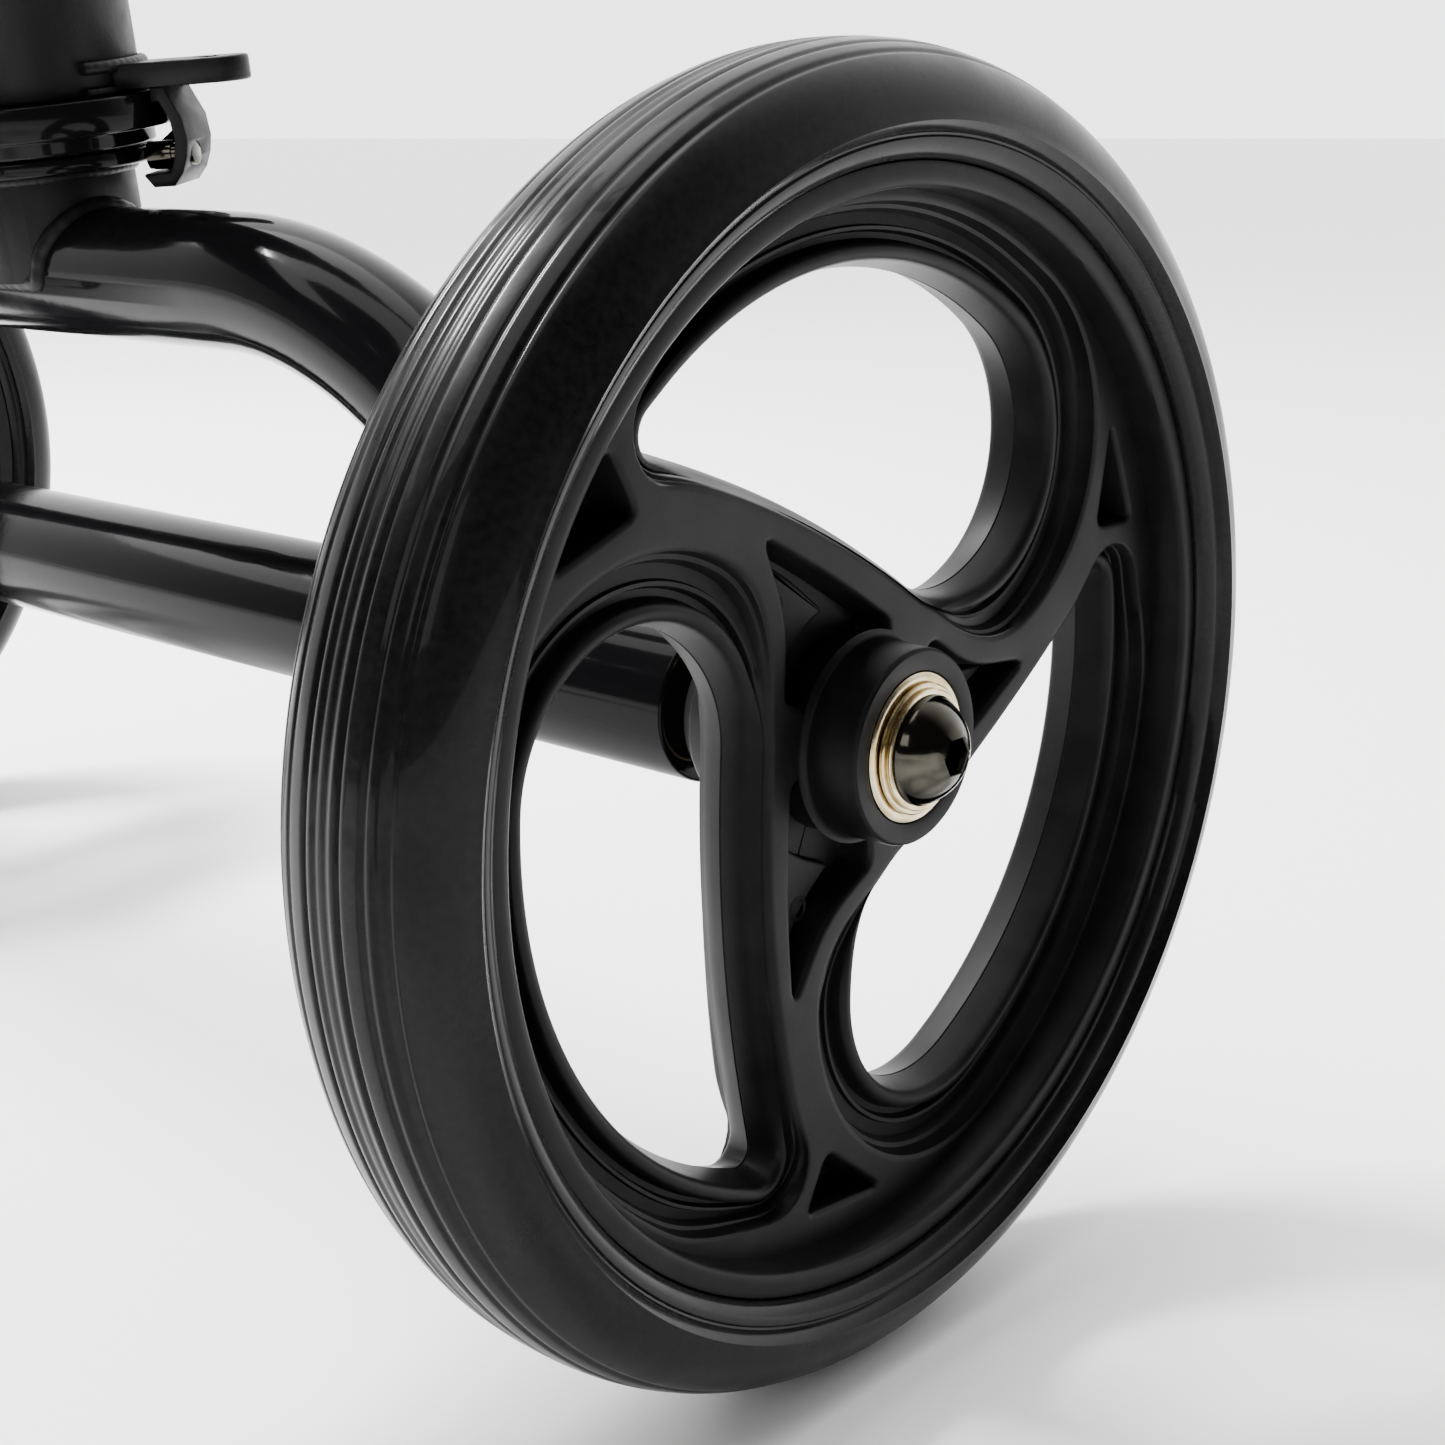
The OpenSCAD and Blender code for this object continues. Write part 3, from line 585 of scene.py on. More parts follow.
def rim_mesh():
    """The whole rim in wheel-local millimetres: both faces, hub and band."""
    n_band = 240
    shell = Shell()
    openings = opening_rings()
    rim_pocket = pocket_rings(RIM_POCKET, RIM_POCKET_FLOOR, 1.0, 72)
    hub_pocket = pocket_rings(HUB_POCKET, HUB_POCKET_FLOOR, 0.7)
    marks = [platform_rings(HUB_POCKET_FLOOR), pin_mark_rings(-16.2, 21.6, HUB_POCKET_FLOOR + 1.6),
             pin_mark_rings(62.3, 30.2, RIM_POCKET_FLOOR)]
    band_foot = circle_ring(BAND_IN, 0, n_band)
    band_foot[:, 2] = face_z(band_foot[:, 0], band_foot[:, 1])
    hub_foot = circle_ring(HUB_FOOT, 0, 96)
    hub_foot[:, 2] = face_z(hub_foot[:, 0], hub_foot[:, 1])
    holes = [hub_foot]
    for k in range(SECTORS):
        for rings, cap in ((openings, False), (rim_pocket, True), (hub_pocket, True)):
            spun = turned(rings, k)
            shell.loft(spun, flip=True, cap_first=cap)
            holes.append(spun[-1])
        for rings in marks:
            shell.loft(turned(rings, k), flip=False, cap_first=True)
    shell.join(*face_fill(band_foot, holes))
    top_face = face_z(np.array([BAND_IN]), np.array([0.0]))[0]
    band = [(BAND_IN, top_face), (77.75, -3.0), (77.9, -1.0), (78.15, -0.35), (78.6, -0.08),
            (79.3, 0.0), (81.0, 0.0), (81.35, -0.12), (81.5, -0.5), (81.5, WEB_MID)]
    shell.loft([circle_ring(r, z, n_band) for r, z in band])
    foot = face_z(np.array([HUB_FOOT]), np.array([0.0]))[0]
    sink = np.linspace(0, math.pi / 2, 7)[1:]
    fillet = [(HUB_FOOT - 1.2 * math.sin(t), foot + 1.2 * (1 - math.cos(t))) for t in sink]
    hub = [(HUB_FOOT, foot)] + fillet + [(14.5, 0.7), (14.35, 1.2), (14.0, 1.5), (11.7, 1.5),
                                         (11.25, 1.3), (11.1, 0.8), (11.1, -5.5),
                                         (HUB_BORE_R, -5.5), (HUB_BORE_R, WEB_MID)]
    shell.loft([circle_ring(r, z, 96) for r, z in ((15.0, -14.0), (14.75, foot + 1.0))], flip=True)
    shell.loft([circle_ring(r, z, 96) for r, z in hub], flip=True)
    half = len(shell.verts)
    top = np.array(shell.verts)
    back = top.copy()
    back[:, 2] = 2 * WEB_MID - top[:, 2]
    on_hub = (np.hypot(back[:, 0], back[:, 1]) < HUB_FOOT - 3.5) & (back[:, 2] < WEB_MID - 8)
    lift = HUB_BACK - (2 * WEB_MID - 1.5)
    deep = np.clip((-back[:, 2] - 27) / 2.0, 0, 1)
    back[:, 2] += np.where(on_hub, lift * deep, 0.0)
    on_band = np.hypot(back[:, 0], back[:, 1]) > BAND_IN + 0.02
    on_band &= back[:, 2] < WEB_MID
    back[:, 2] = np.where(on_band, np.maximum(back[:, 2], BAND_BACK), back[:, 2])
    shell.verts = [tuple(v) for v in top] + [tuple(v) for v in back]
    shell.faces += [tuple(half + i for i in f[::-1]) for f in shell.faces]
    return shell.verts, shell.faces


def weld_close(obj, distance):
    """Joins vertices that lie on each other."""
    bm = bmesh.new()
    bm.from_mesh(obj.data)
    bmesh.ops.remove_doubles(bm, verts=bm.verts, dist=distance)
    bmesh.ops.recalc_face_normals(bm, faces=bm.faces)
    bm.to_mesh(obj.data)
    bm.free()
    obj.data.shade_smooth()
    obj.data.set_sharp_from_angle(angle=math.radians(38))


def make_rims():
    verts, faces = rim_mesh()
    for name in WHEELS:
        rim = mesh_object(name + "_rim_moulded", verts, faces, "rim_plastic", name + "_wheel",
                          wheel_frame(name))
        weld_close(rim, 0.00001)
        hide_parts(name + "_rim")


# ---- tyre ----

TYRE_MID = -11.0
TREAD_LINES = (0.9, 2.9, 6.6, 9.5)       # distances of the fine tread grooves from the middle


def tyre_profile():
    """Half section from the middle of the tread to the seam, as (distance from the middle, radius)."""
    half_w, height = 15.6, TYRE_R - SEAM_R
    rows = []
    for a in np.linspace(math.pi / 2, 0.30, 72):
        x = half_w * math.cos(a) ** 0.8
        r = SEAM_R + height * math.sin(a) ** 0.8
        groove = sum(0.32 * math.exp(-((x - line) / 0.38) ** 2) for line in TREAD_LINES)
        rows.append((x, r - groove))
    rows += [(15.35, 86.6), (14.6, 85.6), (13.9, 85.2), (13.45, 85.0), (13.3, 84.7), (13.5, 84.4),
             (13.45, 84.1), (13.1, 83.2), (12.4, 82.2), (11.6, 81.75), (11.0, 81.62), (10.4, 81.55)]
    return rows


def make_tyres():
    half = tyre_profile()
    outline = [(r, TYRE_MID + x) for x, r in reversed(half)]
    outline += [(r, TYRE_MID - x) for x, r in half[1:]]
    verts, faces = revolve(outline, 288)
    for name in WHEELS:
        tyre = mesh_object(name + "_tyre_cast", verts, faces, "tyre_rubber", name + "_wheel",
                           wheel_frame(name), smooth=0)
        weld_close(tyre, 0.000001)
        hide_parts(name + "_tyre")


# ---- bearings, washers and axle bolts ----

def make_bearing_faces():
    """Each bearing as outer race, dust shield and inner race."""
    for name in WHEELS:
        parts = Shell()
        for face, out in ((1.7, 1), (-33.2, -1)):
            back = face - 7 * out
            races = [
                [(11.0, back), (11.0, face - 0.35 * out), (10.7, face - 0.05 * out), (10.3, face),
                 (9.35, face), (9.1, face - 0.15 * out), (9.05, face - 0.7 * out), (9.05, back)],
                [(9.0, face - 0.75 * out), (8.9, face - 0.45 * out), (7.4, face - 0.35 * out),
                 (6.3, face - 0.5 * out), (6.1, face - 0.9 * out), (6.1, face - 1.6 * out),
                 (9.0, face - 1.6 * out)],
                [(6.0, back), (6.0, face - 0.3 * out), (5.8, face), (4.35, face),
                 (4.02, face - 0.3 * out), (4.02, back)],
            ]
            for race in races:
                verts, faces = revolve(race, 96)
                parts.join(verts, faces if out < 0 else [f[::-1] for f in faces])
        piece = mesh_object(name + "_bearing_races", parts.verts, parts.faces, "zinc",
                            name + "_wheel", wheel_frame(name), smooth=40)
        weld_close(piece, 0.000001)
        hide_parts(name + "_bearings")


HEAD_R = 8.1             # domed head of the axle bolts
HEAD_H = 5.6
HEAD_BASE = 3.3          # where the head sits, outboard of the seam
SHANK_R = 3.95
WASHER_BORE = 4.1


def hex_ring(r, z, n):
    """A ring of n points on a hexagon's sides."""
    ring = []
    for i in range(n):
        a = 2 * math.pi * i / n
        k = math.cos(math.pi / 6) / math.cos((a % (math.pi / 3)) - math.pi / 6)
        ring.append((r * k * math.cos(a), r * k * math.sin(a), z))
    return ring


def make_axle_bolts():
    """Domed button heads with a hexagon socket, their stacked washers and the inboard spacers."""
    n = 96
    for end in ("front", "rear"):
        body = "fork" if end == "front" else "frame"
        bolts, rings, spacers = Shell(), Shell(), Shell()
        for side in ("right", "left"):
            m = wheel_frame(end + "_" + side)
            sphere = (HEAD_R ** 2 + HEAD_H ** 2) / (2 * HEAD_H)
            reach = math.asin(HEAD_R / sphere)
            top = HEAD_BASE + HEAD_H
            dome = [(HEAD_R - 0.25, HEAD_BASE), (HEAD_R, HEAD_BASE + 0.25)]
            for t in np.linspace(0.96, 0.36, 14):
                dome.append((sphere * math.sin(t * reach), top - sphere * (1 - math.cos(t * reach))))
            rows = [circle_ring(r, z, n) for r, z in dome]
            rows += [np.array(hex_ring(r, z, n)) for r, z in
                     ((3.1, top - 0.35), (2.8, top - 0.7), (2.75, HEAD_BASE + 2.2))]
            rows.append(circle_ring(0.9, HEAD_BASE + 1.7, n))
            head = Shell()
            head.loft(rows, cap_first=True)
            head.faces.append(tuple(range(len(head.verts) - n, len(head.verts))))
            bolts.join([m @ Vector(v) for v in head.verts], head.faces)
            verts, faces = revolve([(SHANK_R, -75.0), (SHANK_R, HEAD_BASE)], 48, closed=False)
            bolts.join([m @ Vector(v) for v in verts], faces)
            stacks = [
                (rings, [(9.4, 1.8), (9.6, 2.0), (9.6, 2.4), (9.4, 2.6), (WASHER_BORE, 2.6),
                         (WASHER_BORE, 1.8)]),
                (rings, [(8.75, 2.6), (8.9, 2.75), (8.9, 3.15), (8.75, 3.3), (WASHER_BORE, 3.3),
                         (WASHER_BORE, 2.6)]),
                (spacers, [(6.3, -33.3), (6.5, -33.5), (6.5, -36.8), (6.3, -37.0), (WASHER_BORE, -37.0),
                           (WASHER_BORE, -33.3)]),
            ]
            for shell, stack in stacks:
                verts, faces = revolve(stack, 96)
                shell.join([m @ Vector(v) for v in verts], faces)
        head_piece = mesh_object(end + "_axle_bolt_set", bolts.verts, bolts.faces, "dark_chrome", body)
        weld_close(head_piece, 0.000001)
        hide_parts(end + "_axle_bolts")
        washer_piece = mesh_object(end + "_washer_set", rings.verts, rings.faces, "zinc", body)
        weld_close(washer_piece, 0.000001)
        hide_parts(end + "_washers")
        mesh_object(end + "_axle_spacers", spacers.verts, spacers.faces, "gloss_black_paint", body)


make_rims()
make_tyres()
make_bearing_faces()
make_axle_bolts()

# ---- weld beads ----

def junction(curve, surface, n, steps=60):
    """Points where each of n curves first meets a surface.

    curve(turn, t) is a point, and surface(point) is below 0 inside. Curves that never meet it are
    left out."""
    points = []
    for i in range(n):
        turn = 2 * math.pi * i / n
        low, inside_low = 0.0, surface(curve(turn, 0.0)) < 0
        for k in range(1, steps + 1):
            t = k / steps
            if (surface(curve(turn, t)) < 0) != inside_low:
                high = t
                for _ in range(24):
                    mid = (low + high) / 2
                    if (surface(curve(turn, mid)) < 0) == inside_low:
                        low = mid
                    else:
                        high = mid
                points.append(Vector(curve(turn, low)))
                break
            low = t
    return points


def even(points, pitch, closed):
    """The same path with points a pitch apart."""
    pts = [Vector(p) for p in points] + ([Vector(points[0])] if closed else [])
    along = [0.0]
    for a, b in zip(pts, pts[1:]):
        along.append(along[-1] + (b - a).length)
    n = max(4, round(along[-1] / pitch))
    count = n if closed else n + 1
    out, j = [], 0
    for i in range(count):
        d = along[-1] * i / n
        while j < len(along) - 2 and along[j + 1] < d:
            j += 1
        span = max(along[j + 1] - along[j], 1e-9)
        out.append(pts[j].lerp(pts[j + 1], min(1.0, (d - along[j]) / span)))
    return out


def tube_along(points, radius_at, sides, closed):
    """A tube's vertices and faces along a path of points, in the path's units."""
    n = len(points)
    verts, faces = [], []
    side = None
    for i, p in enumerate(points):
        before = points[i - 1] if (i or closed) else p
        after = points[(i + 1) % n] if (i < n - 1 or closed) else p
        ahead = (after - before).normalized()
        if side is None:
            side = ahead.orthogonal().normalized()
        side = (side - ahead * side.dot(ahead)).normalized()
        other = ahead.cross(side)
        r = radius_at(i)
        for k in range(sides):
            a = 2 * math.pi * k / sides
            verts.append(p + (side * math.cos(a) + other * math.sin(a)) * r)
    for i in range(n if closed else n - 1):
        for k in range(sides):
            l = (k + 1) % sides
            j = (i + 1) % n
            faces.append((i * sides + k, i * sides + l, j * sides + l, j * sides + k))
    if not closed:
        faces.append(tuple(range(sides))[::-1])
        faces.append(tuple(range((n - 1) * sides, n * sides)))
    return verts, faces


def weld_bead(name, points, radius, body, matrix, closed=True, slot_name="satin_black_paint", seed=1):
    """A rippled fillet weld along a path of points in millimetres."""
    pitch = radius * 0.32
    path = even(points, pitch, closed)
    rng = random.Random(seed)
    uneven = [rng.uniform(-0.09, 0.09) for _ in path]

    def radius_at(i):
        step = (i % 5) / 5
        return radius * (0.96 + 0.06 * math.sin(math.pi * step) + uneven[i] * 0.2)
    verts, faces = tube_along(path, radius_at, 12, closed)
    return mesh_object(name, verts, faces, slot_name, body, matrix @ Matrix.Scale(MM, 4), smooth=70)


BAR_R = 12.7
ARCH_R = 12.2
ARCH_X = 56.0
ARCH_RISE = 60.0
BEND_R = 82.0
HEAD_TUBE_R = 21.0
SPINE_R = 19.0
SOCKET_R = 17.0
CROWN_R = 17.0
CROWN_TOP = 78.4         # the crown's upper edge, along the steering axis from the axle
SPINE_S = 135.0          # where the spine's middle meets the steering axis
LUG_TURN = math.radians(212)
LUG_TOP = 96.7
LUG_UNDER = 92.4


def arch_weld_points(side):
    """Where one leg of an arch meets the cross tube, in the axle's frame."""
    def curve(turn, t):
        bend = math.radians(60 - 60 * t)
        out = BEND_R + ARCH_R * math.cos(turn)
        return (side * (ARCH_X + out * math.cos(bend)), ARCH_R * math.sin(turn),
                ARCH_RISE - BEND_R + out * math.sin(bend))
    return junction(curve, lambda p: math.hypot(p[1], p[2]) - BAR_R, 72)


def make_welds():
    rear = Matrix.Translation((0, AXLE_Y, AXLE_Z))
    for end, body, place in (("front", "fork", STEER_FRAME), ("rear", "frame", rear)):
        for side, word in ((-1, "right"), (1, "left")):
            weld_bead(end + "_arch_weld_" + word, arch_weld_points(side), 1.2, body, place,
                      slot_name="gloss_black_paint", seed=3)
    reach = math.asin(ARCH_R / CROWN_R)
    loop = []
    for side in (1, -1):
        for t in np.linspace(-reach, reach, 24):
            y = CROWN_R * math.sin(t) * side
            rise = math.sqrt(max(ARCH_R ** 2 - y * y, 0))
            loop.append((side * CROWN_R * math.cos(t), y, ARCH_RISE + rise))
    weld_bead("crown_weld", loop, 1.8, "fork", STEER_FRAME, seed=5)
    steps = np.linspace(0, 2 * math.pi, 60, endpoint=False)
    foot = [(CROWN_R * math.cos(a), CROWN_R * math.sin(a), CROWN_TOP) for a in steps]
    weld_bead("crown_race_weld", foot, 1.0, "fork", STEER_FRAME, seed=6)
    lug_r = HEAD_TUBE_R + 0.6
    for word, height, bead in (("top", LUG_TOP, 1.2), ("under", LUG_UNDER, 0.9)):
        arc = [(lug_r * math.cos(LUG_TURN + a), lug_r * math.sin(LUG_TURN + a), height)
               for a in np.linspace(-0.62, 0.62, 24)]
        weld_bead("lug_weld_" + word, arc, bead, "frame", STEER_FRAME, closed=False, seed=8)
    spine_turn = STEER_FRAME.to_3x3() @ Vector((0, 0, SPINE_S))
    start = Vector((0, -AXLE_Y / MM, AXLE_Z / MM)) + spine_turn
    ahead = Vector((0, math.cos(RAKE), -math.sin(RAKE)))
    over = Vector((0, math.sin(RAKE), math.cos(RAKE)))

    def spine(turn, t, length=60.0):
        around = Vector((math.cos(turn), 0, 0)) + over * math.sin(turn)
        return start + around * SPINE_R + ahead * (length * t)

    def off_head(p):
        return Vector((to_steer @ (Vector(p) * MM))[:2]).length / MM - HEAD_TUBE_R
    to_steer = STEER_FRAME.inverted()
    weld_bead("spine_head_weld", junction(spine, off_head, 90), 2.0, "frame", Matrix.Identity(4), seed=9)
    seat_y = (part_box("seat_post")[0].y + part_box("seat_post")[1].y) / 2 / MM

    def socket(turn, t):
        return (SOCKET_R * math.cos(turn), seat_y + SOCKET_R * math.sin(turn), 300 - 170 * t)

    def off_spine(p):
        gap = Vector(p) - start
        return (gap - ahead * gap.dot(ahead)).length - SPINE_R
    weld_bead("socket_weld", junction(socket, off_spine, 90), 2.0, "frame", Matrix.Identity(4), seed=10)
    end = [spine(a, 1.0, (AXLE_Y / MM - start.y) / math.cos(RAKE) - 12.5)
           for a in np.linspace(-0.62, 0.62, 20)]
    for word, flip in (("right", -1), ("left", 1)):
        side_path = [Vector((p.x * flip, p.y, p.z)) for p in end]
        weld_bead("spine_arch_weld_" + word, side_path, 1.8, "frame", Matrix.Identity(4),
                  closed=False, seed=11)


make_welds()

# ---- grips ----

GRIP_INNER = 88.0        # inner end of each grip, from the middle of the bar
RIB_PITCH = 3.7


def make_grips():
    """Ribbed rubber grips with an inner flange and a rounded, ringed end."""
    low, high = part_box("grips")
    centre_y, centre_z = (low.y + high.y) / 2 / MM, (low.z + high.z) / 2 / MM
    outer = high.x / MM
    radius = (high.z - low.z) / 2 / MM
    inner = GRIP_INNER
    hold = radius - 1.6      # radius of the ribbed part
    profile = [(10.9, inner), (radius - 0.5, inner), (radius, inner + 0.6), (radius, inner + 3.0),
               (radius - 0.4, inner + 3.8), (hold - 0.4, inner + 5.0)]
    x = inner + 7.0
    while x < outer - 16:
        profile += [(hold - 0.5, x), (hold + 0.05, x + 0.35), (hold + 0.3, x + 1.0), (hold + 0.3, x + 1.9),
                    (hold + 0.05, x + 2.55), (hold - 0.5, x + 2.9)]
        x += RIB_PITCH
    profile += [(hold - 0.3, outer - 13), (hold + 0.5, outer - 11.5), (hold + 0.9, outer - 9),
                (hold + 0.9, outer - 3.5), (hold + 0.1, outer - 1.2), (hold - 2.0, outer - 0.15),
                (9.0, outer), (8.6, outer - 0.6), (5.0, outer - 0.9), (0.4, outer - 0.9)]
    verts, faces = revolve(profile, 72, closed=False)
    both = Shell()
    for side in (-1, 1):
        both.join([((side * z), centre_y + r_y, centre_z + r_z) for r_y, r_z, z in verts],
                  faces if side > 0 else [f[::-1] for f in faces])
    grips = mesh_object("ribbed_grips", both.verts, both.faces, "grip_rubber", "handlebar_set",
                        Matrix.Scale(MM, 4), smooth=60)
    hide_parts("grips")


make_grips()

# ---- knee cushion, in metres ----

PAD_CORNER = 0.042
SEAM_DROP = 0.019        # the piped seam, below the top of the pad
CHANNEL_AT = 0.34        # the sewn channels, as a share of the pad's half length
STITCH_PITCH = 0.0048
STITCH_LENGTH = 0.0034


def pad_section(corner, half_x, half_y, n):
    """A rounded rectangle, counter-clockwise."""
    out = []
    for i, (sx, sy) in enumerate(((1, 1), (-1, 1), (-1, -1), (1, -1))):
        for k in range(n + 1):
            a = math.pi / 2 * (i + k / n)
            out.append((sx * (half_x - corner) + corner * math.cos(a),
                        sy * (half_y - corner) + corner * math.sin(a)))
    return out


def simulate(obj, frames=20, cap=0.004):
    """Inflates a closed mesh with cloth pressure, its base held, and keeps movements of up to the cap."""
    rest = np.array([v.co for v in obj.data.vertices])
    base = rest[:, 2].min()
    group = obj.vertex_groups.new(name="held")
    for i, co in enumerate(rest):
        if co[2] < base + 0.004:
            group.add([i], 1.0, "REPLACE")
    cloth = obj.modifiers.new("cloth", "CLOTH")
    cloth.settings.quality = 6
    cloth.settings.use_pressure = True
    cloth.settings.uniform_pressure_force = 4.0
    cloth.settings.effector_weights.gravity = 0.0
    cloth.settings.vertex_group_mass = "held"
    cloth.settings.mass = 0.3
    cloth.point_cache.frame_start = 1
    cloth.point_cache.frame_end = frames
    scene = bpy.context.scene
    for i in range(1, frames + 1):
        scene.frame_set(i)
    shaped = obj.evaluated_get(bpy.context.evaluated_depsgraph_get()).to_mesh()
    co = np.array([v.co for v in shaped.vertices])
    move = co - rest
    length = np.linalg.norm(move, axis=1)
    move *= np.minimum(1.0, cap / np.maximum(length, 1e-9))[:, None]
    obj.modifiers.remove(cloth)
    obj.data.vertices.foreach_set("co", (rest + move).ravel())
    scene.frame_set(1)


def groove(distance, width, depth):
    """Depth of a soft groove at a distance from its middle."""
    return depth * np.exp(-(distance / width) ** 2)


def make_cushion():
    """The foam knee pad in stitched vinyl: crowned, with a piped edge and two sewn channels."""
    low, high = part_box("knee_pad")
    centre = Vector(((low.x + high.x) / 2, (low.y + high.y) / 2, low.z))
    half_x, half_y, height = (high.x - low.x) / 2, (high.y - low.y) / 2, high.z - low.z
    inset = 0.008
    rows = [(0.004, 0.001), (0.0, 0.004), (0.0, height - 0.022), (0.003, height - 0.016),
            (0.010, height - 0.0125)]
    shell = Shell()
    rings = []
    for d, z in rows:
        outline = pad_section(PAD_CORNER - d, half_x - inset - d, half_y - inset - d, 10)
        rings.append(np.array([(x, y, z) for x, y in outline]))
    shell.loft(rings, cap_first=True)
    shell.faces.append(tuple(range(len(shell.verts) - len(rings[0]), len(shell.verts))))
    pad = mesh_object("knee_cushion", shell.verts, shell.faces, "pad_cover", "seat", smooth=0)
    pad.parent = None
    remesh = pad.modifiers.new("remesh", "REMESH")
    remesh.mode = "VOXEL"
    remesh.voxel_size = 0.0055
    even_mesh = bpy.data.meshes.new_from_object(pad.evaluated_get(bpy.context.evaluated_depsgraph_get()))
    pad.modifiers.clear()
    pad.data = even_mesh
    simulate(pad)
    ease = pad.modifiers.new("ease", "SMOOTH")
    ease.factor = 0.5
    ease.iterations = 12
    detail = pad.modifiers.new("detail", "SUBSURF")
    detail.levels = detail.render_levels = 1
    pad.data = bpy.data.meshes.new_from_object(pad.evaluated_get(bpy.context.evaluated_depsgraph_get()))
    pad.modifiers.clear()
    co = np.array([v.co for v in pad.data.vertices])
    co[:, 0] *= (half_x - 0.0006) / np.abs(co[:, 0]).max()
    co[:, 1] *= (half_y - 0.0006) / np.abs(co[:, 1]).max()
    co[:, 2] = (co[:, 2] - co[:, 2].min()) * (height - 0.0004) / np.ptp(co[:, 2])
    edge = np.maximum(np.abs(co[:, 0]) / half_x, np.abs(co[:, 1]) / half_y)
    top = np.clip((co[:, 2] - height * 0.5) / (height * 0.4), 0, 1)
    for line in (-1, 1):
        off = co[:, 1] - line * half_y * CHANNEL_AT
        co[:, 2] -= groove(off, 0.0042, 0.0052) * top * np.clip((1 - edge) * 8, 0.25, 1)
    seam = co[:, 2] - (height - SEAM_DROP)
    pull = groove(seam, 0.0021, 0.0017) * np.clip((edge - 0.8) * 10, 0, 1)
    radial = co[:, :2] / np.maximum(np.linalg.norm(co[:, :2], axis=1), 1e-6)[:, None]
    co[:, :2] -= radial * pull[:, None]
    co[:, 0] = np.clip(co[:, 0], -half_x, half_x)
    co[:, 1] = np.clip(co[:, 1], -half_y, half_y)
    co[:, 2] = np.clip(co[:, 2], 0.0003, height - 0.0002)
    co += np.array(centre)
    pad.data.vertices.foreach_set("co", co.ravel())
    pad.data.update()
    pad.data.shade_smooth()
    pad.data.materials.clear()
    pad.data.materials.append(MAT["pad_cover"])
    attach(pad, "seat")
    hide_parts("knee_pad")
    add_stitches(pad, centre, half_x, half_y, height)


def add_stitches(pad, centre, half_x, half_y, height):
    """A piped edge that follows the seam, and rows of thread beside each sewn channel."""
    depsgraph = bpy.context.evaluated_depsgraph_get()
    surface = pad.evaluated_get(depsgraph)
    inverse = pad.matrix_world.inverted()
    seam = Vector((centre.x, centre.y, centre.z + height - SEAM_DROP))
    outline = [Vector((x, y, 0)) for x, y in pad_section(PAD_CORNER, half_x + 0.02, half_y + 0.02, 12)]
    piping = []
    for out in even(outline, 0.006, True):
        hit, where, _, _ = surface.ray_cast(inverse @ (seam + out), -out)
        if hit:
            piping.append(where + out.normalized() * 0.0002)
    path = even(piping, 0.004, True)
    for _ in range(6):
        path = [(path[i - 1] + path[i] * 2 + path[(i + 1) % len(path)]) / 4 for i in range(len(path))]
    verts, faces = tube_along(path, lambda i: 0.0019, 12, True)
    mesh_object("cushion_piping", verts, faces, "pad_cover", "seat", smooth=0)
    thread = Shell()
    for line in (-1, 1):
        for beside in (-0.0065, 0.0065):
            y = centre.y + line * half_y * CHANNEL_AT + beside
            x = centre.x - half_x + 0.012
            while x < centre.x + half_x - 0.012:
                ends = []
                for at in (x, x + STITCH_LENGTH):
                    above = inverse @ Vector((at, y, centre.z + 0.2))
                    hit, where, _, _ = surface.ray_cast(above, Vector((0, 0, -1)))
                    if hit:
                        ends.append(where + Vector((0, 0, 0.0001)))
                if len(ends) == 2 and ends[0].z > centre.z + height * 0.4:
                    sunk = Vector((0, 0, 0.0003))
                    mid = (ends[0] + ends[1]) / 2 + Vector((0, 0, 0.00025))
                    path = [ends[0] - sunk, ends[0], mid, ends[1], ends[1] - sunk]
                    thread.join(*tube_along(path, lambda i: 0.00042, 6, False))
                x += STITCH_PITCH
    mesh_object("cushion_stitches", thread.verts, thread.faces, "thread", "seat", smooth=0)


make_cushion()

# ---- CAD nodes that keep their shape ----

def finish_cad_nodes():
    """Materials and softened edges on the CAD pieces that stay visible."""
    for name, obj in NODES.items():
        dress(obj, SLOT_OF[name])
        weld = obj.modifiers.new("weld", "WELD")
        weld.merge_threshold = 0.00001
        edge = obj.modifiers.new("edge", "BEVEL")
        edge.width = 0.0006
        edge.segments = 2
        edge.limit_method = "ANGLE"
        edge.angle_limit = math.radians(40)
        edge.harden_normals = False
        edge.use_clamp_overlap = True
        obj.data.shade_smooth()


finish_cad_nodes()

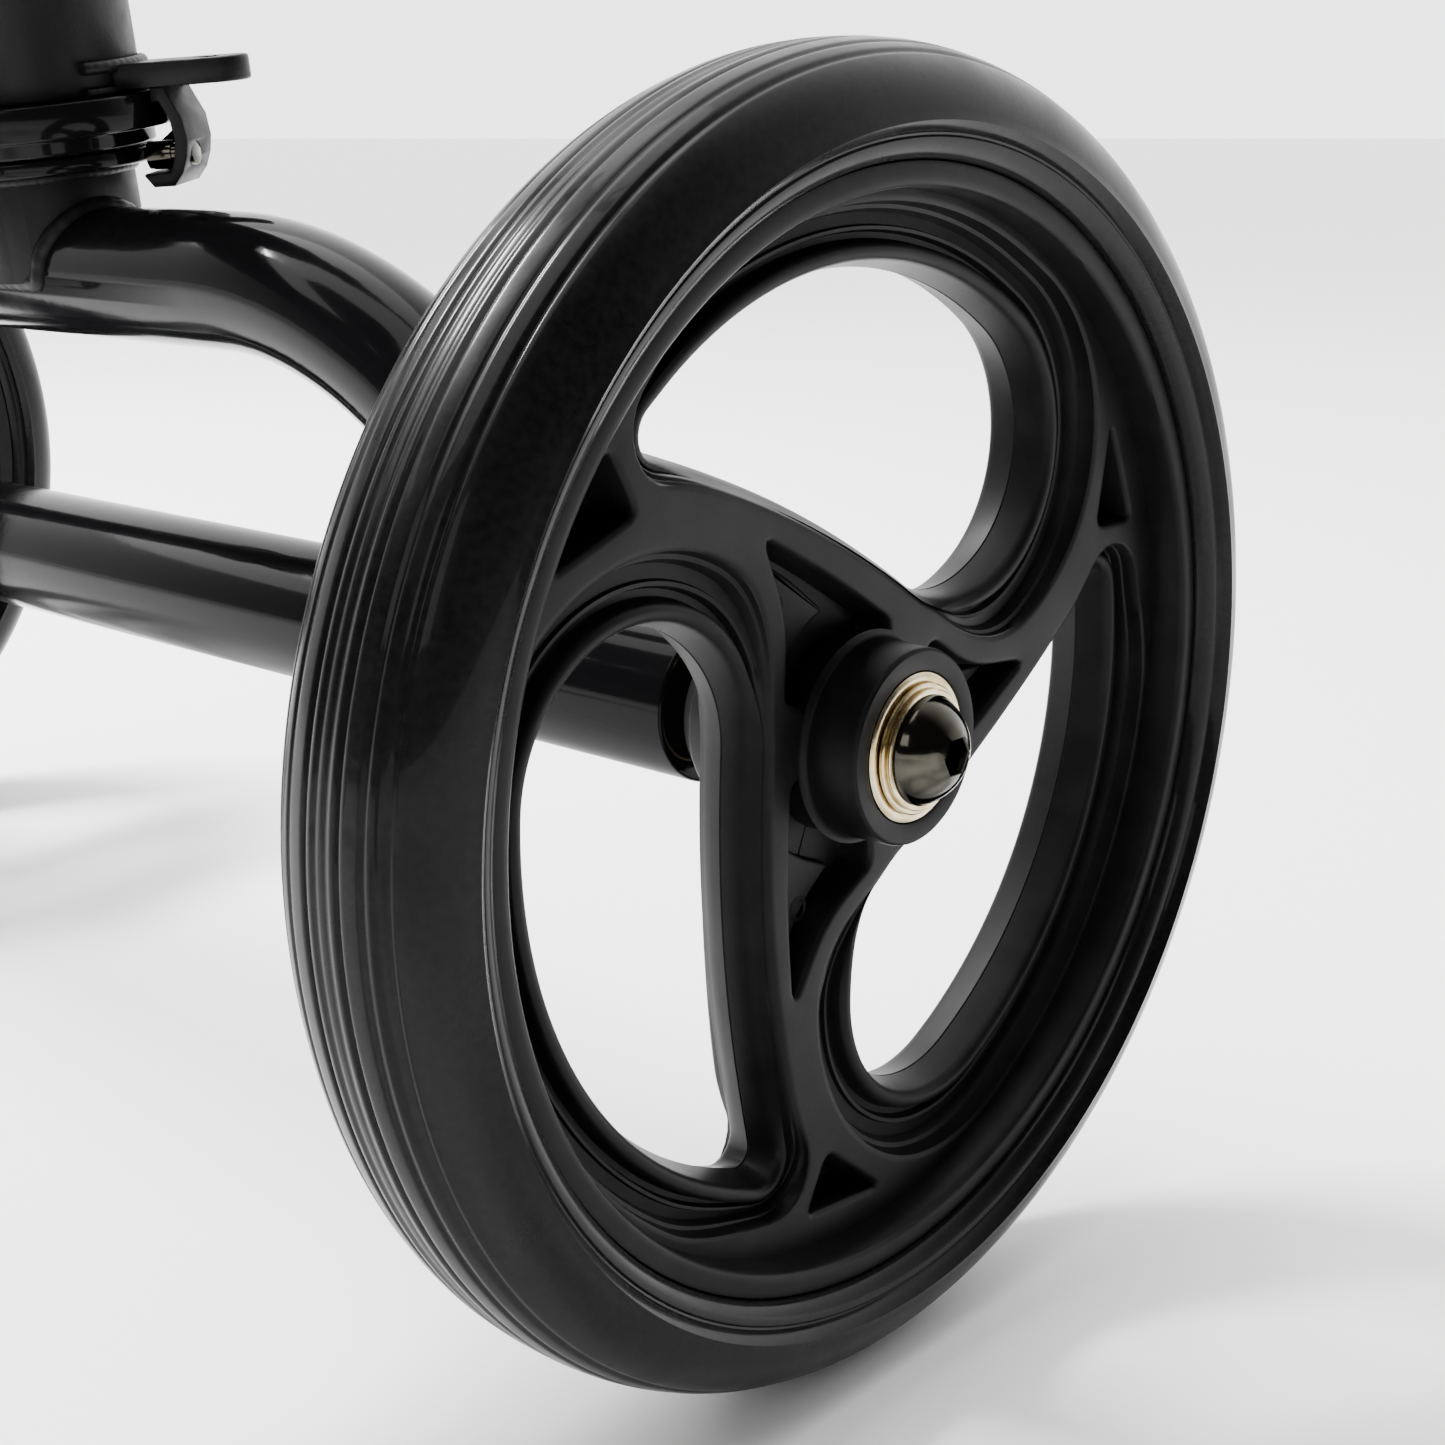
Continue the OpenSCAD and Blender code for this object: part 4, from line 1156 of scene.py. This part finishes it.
# ---- floor and lights ----

def make_stage():
    bpy.ops.mesh.primitive_plane_add(size=400, location=(0, 0, -0.0004))
    floor = bpy.context.object
    floor.name = "floor"
    m = new_material("floor_white", Base_Color=(0.96, 0.96, 0.96), Roughness=0.6)
    floor.data.materials.append(m)


def area_light(name, place, target, size, power):
    data = bpy.data.lights.new(name, "AREA")
    data.shape = "RECTANGLE"
    data.size, data.size_y = size
    data.energy = power
    light = bpy.data.objects.new(name, data)
    light.location = place
    light.rotation_euler = (Vector(target) - Vector(place)).to_track_quat("-Z", "Y").to_euler()
    bpy.context.scene.collection.objects.link(light)


def make_lights():
    """A world that is bright ahead of the photograph's viewpoint and dim behind it, and soft panels."""
    world = bpy.data.worlds.new("studio")
    world.use_nodes = True
    bpy.context.scene.world = world
    nodes, links = world.node_tree.nodes, world.node_tree.links
    place = nodes.new("ShaderNodeTexCoord")
    along = nodes.new("ShaderNodeVectorMath")
    along.operation = "DOT_PRODUCT"
    along.inputs[1].default_value = (0.66, -0.75, 0.0)
    level = nodes.new("ShaderNodeMapRange")
    level.interpolation_type = "SMOOTHSTEP"
    for key, value in (("From Min", -0.35), ("From Max", 0.75), ("To Min", 0.08), ("To Max", 3.4)):
        level.inputs[key].default_value = value
    links.new(place.outputs["Generated"], along.inputs[0])
    links.new(along.outputs["Value"], level.inputs["Value"])
    links.new(level.outputs["Result"], nodes["Background"].inputs["Strength"])
    nodes["Background"].inputs["Color"].default_value = (1.0, 1.0, 1.0, 1.0)
    area_light("streak", (0.95, -0.1, 1.35), (-0.1, -0.2, 0.1), (0.75, 0.14), 90)
    area_light("rim_fill", (-0.9, 1.6, 1.1), (-0.1, -0.1, 0.2), (0.8, 0.8), 7)
    sun = bpy.data.lights.new("overhead", "SUN")
    sun.energy = 4.2
    sun.angle = math.radians(70)
    lamp = bpy.data.objects.new("overhead", sun)
    lamp.rotation_euler = (math.radians(-14), math.radians(20), 0)
    bpy.context.scene.collection.objects.link(lamp)


make_stage()
make_lights()
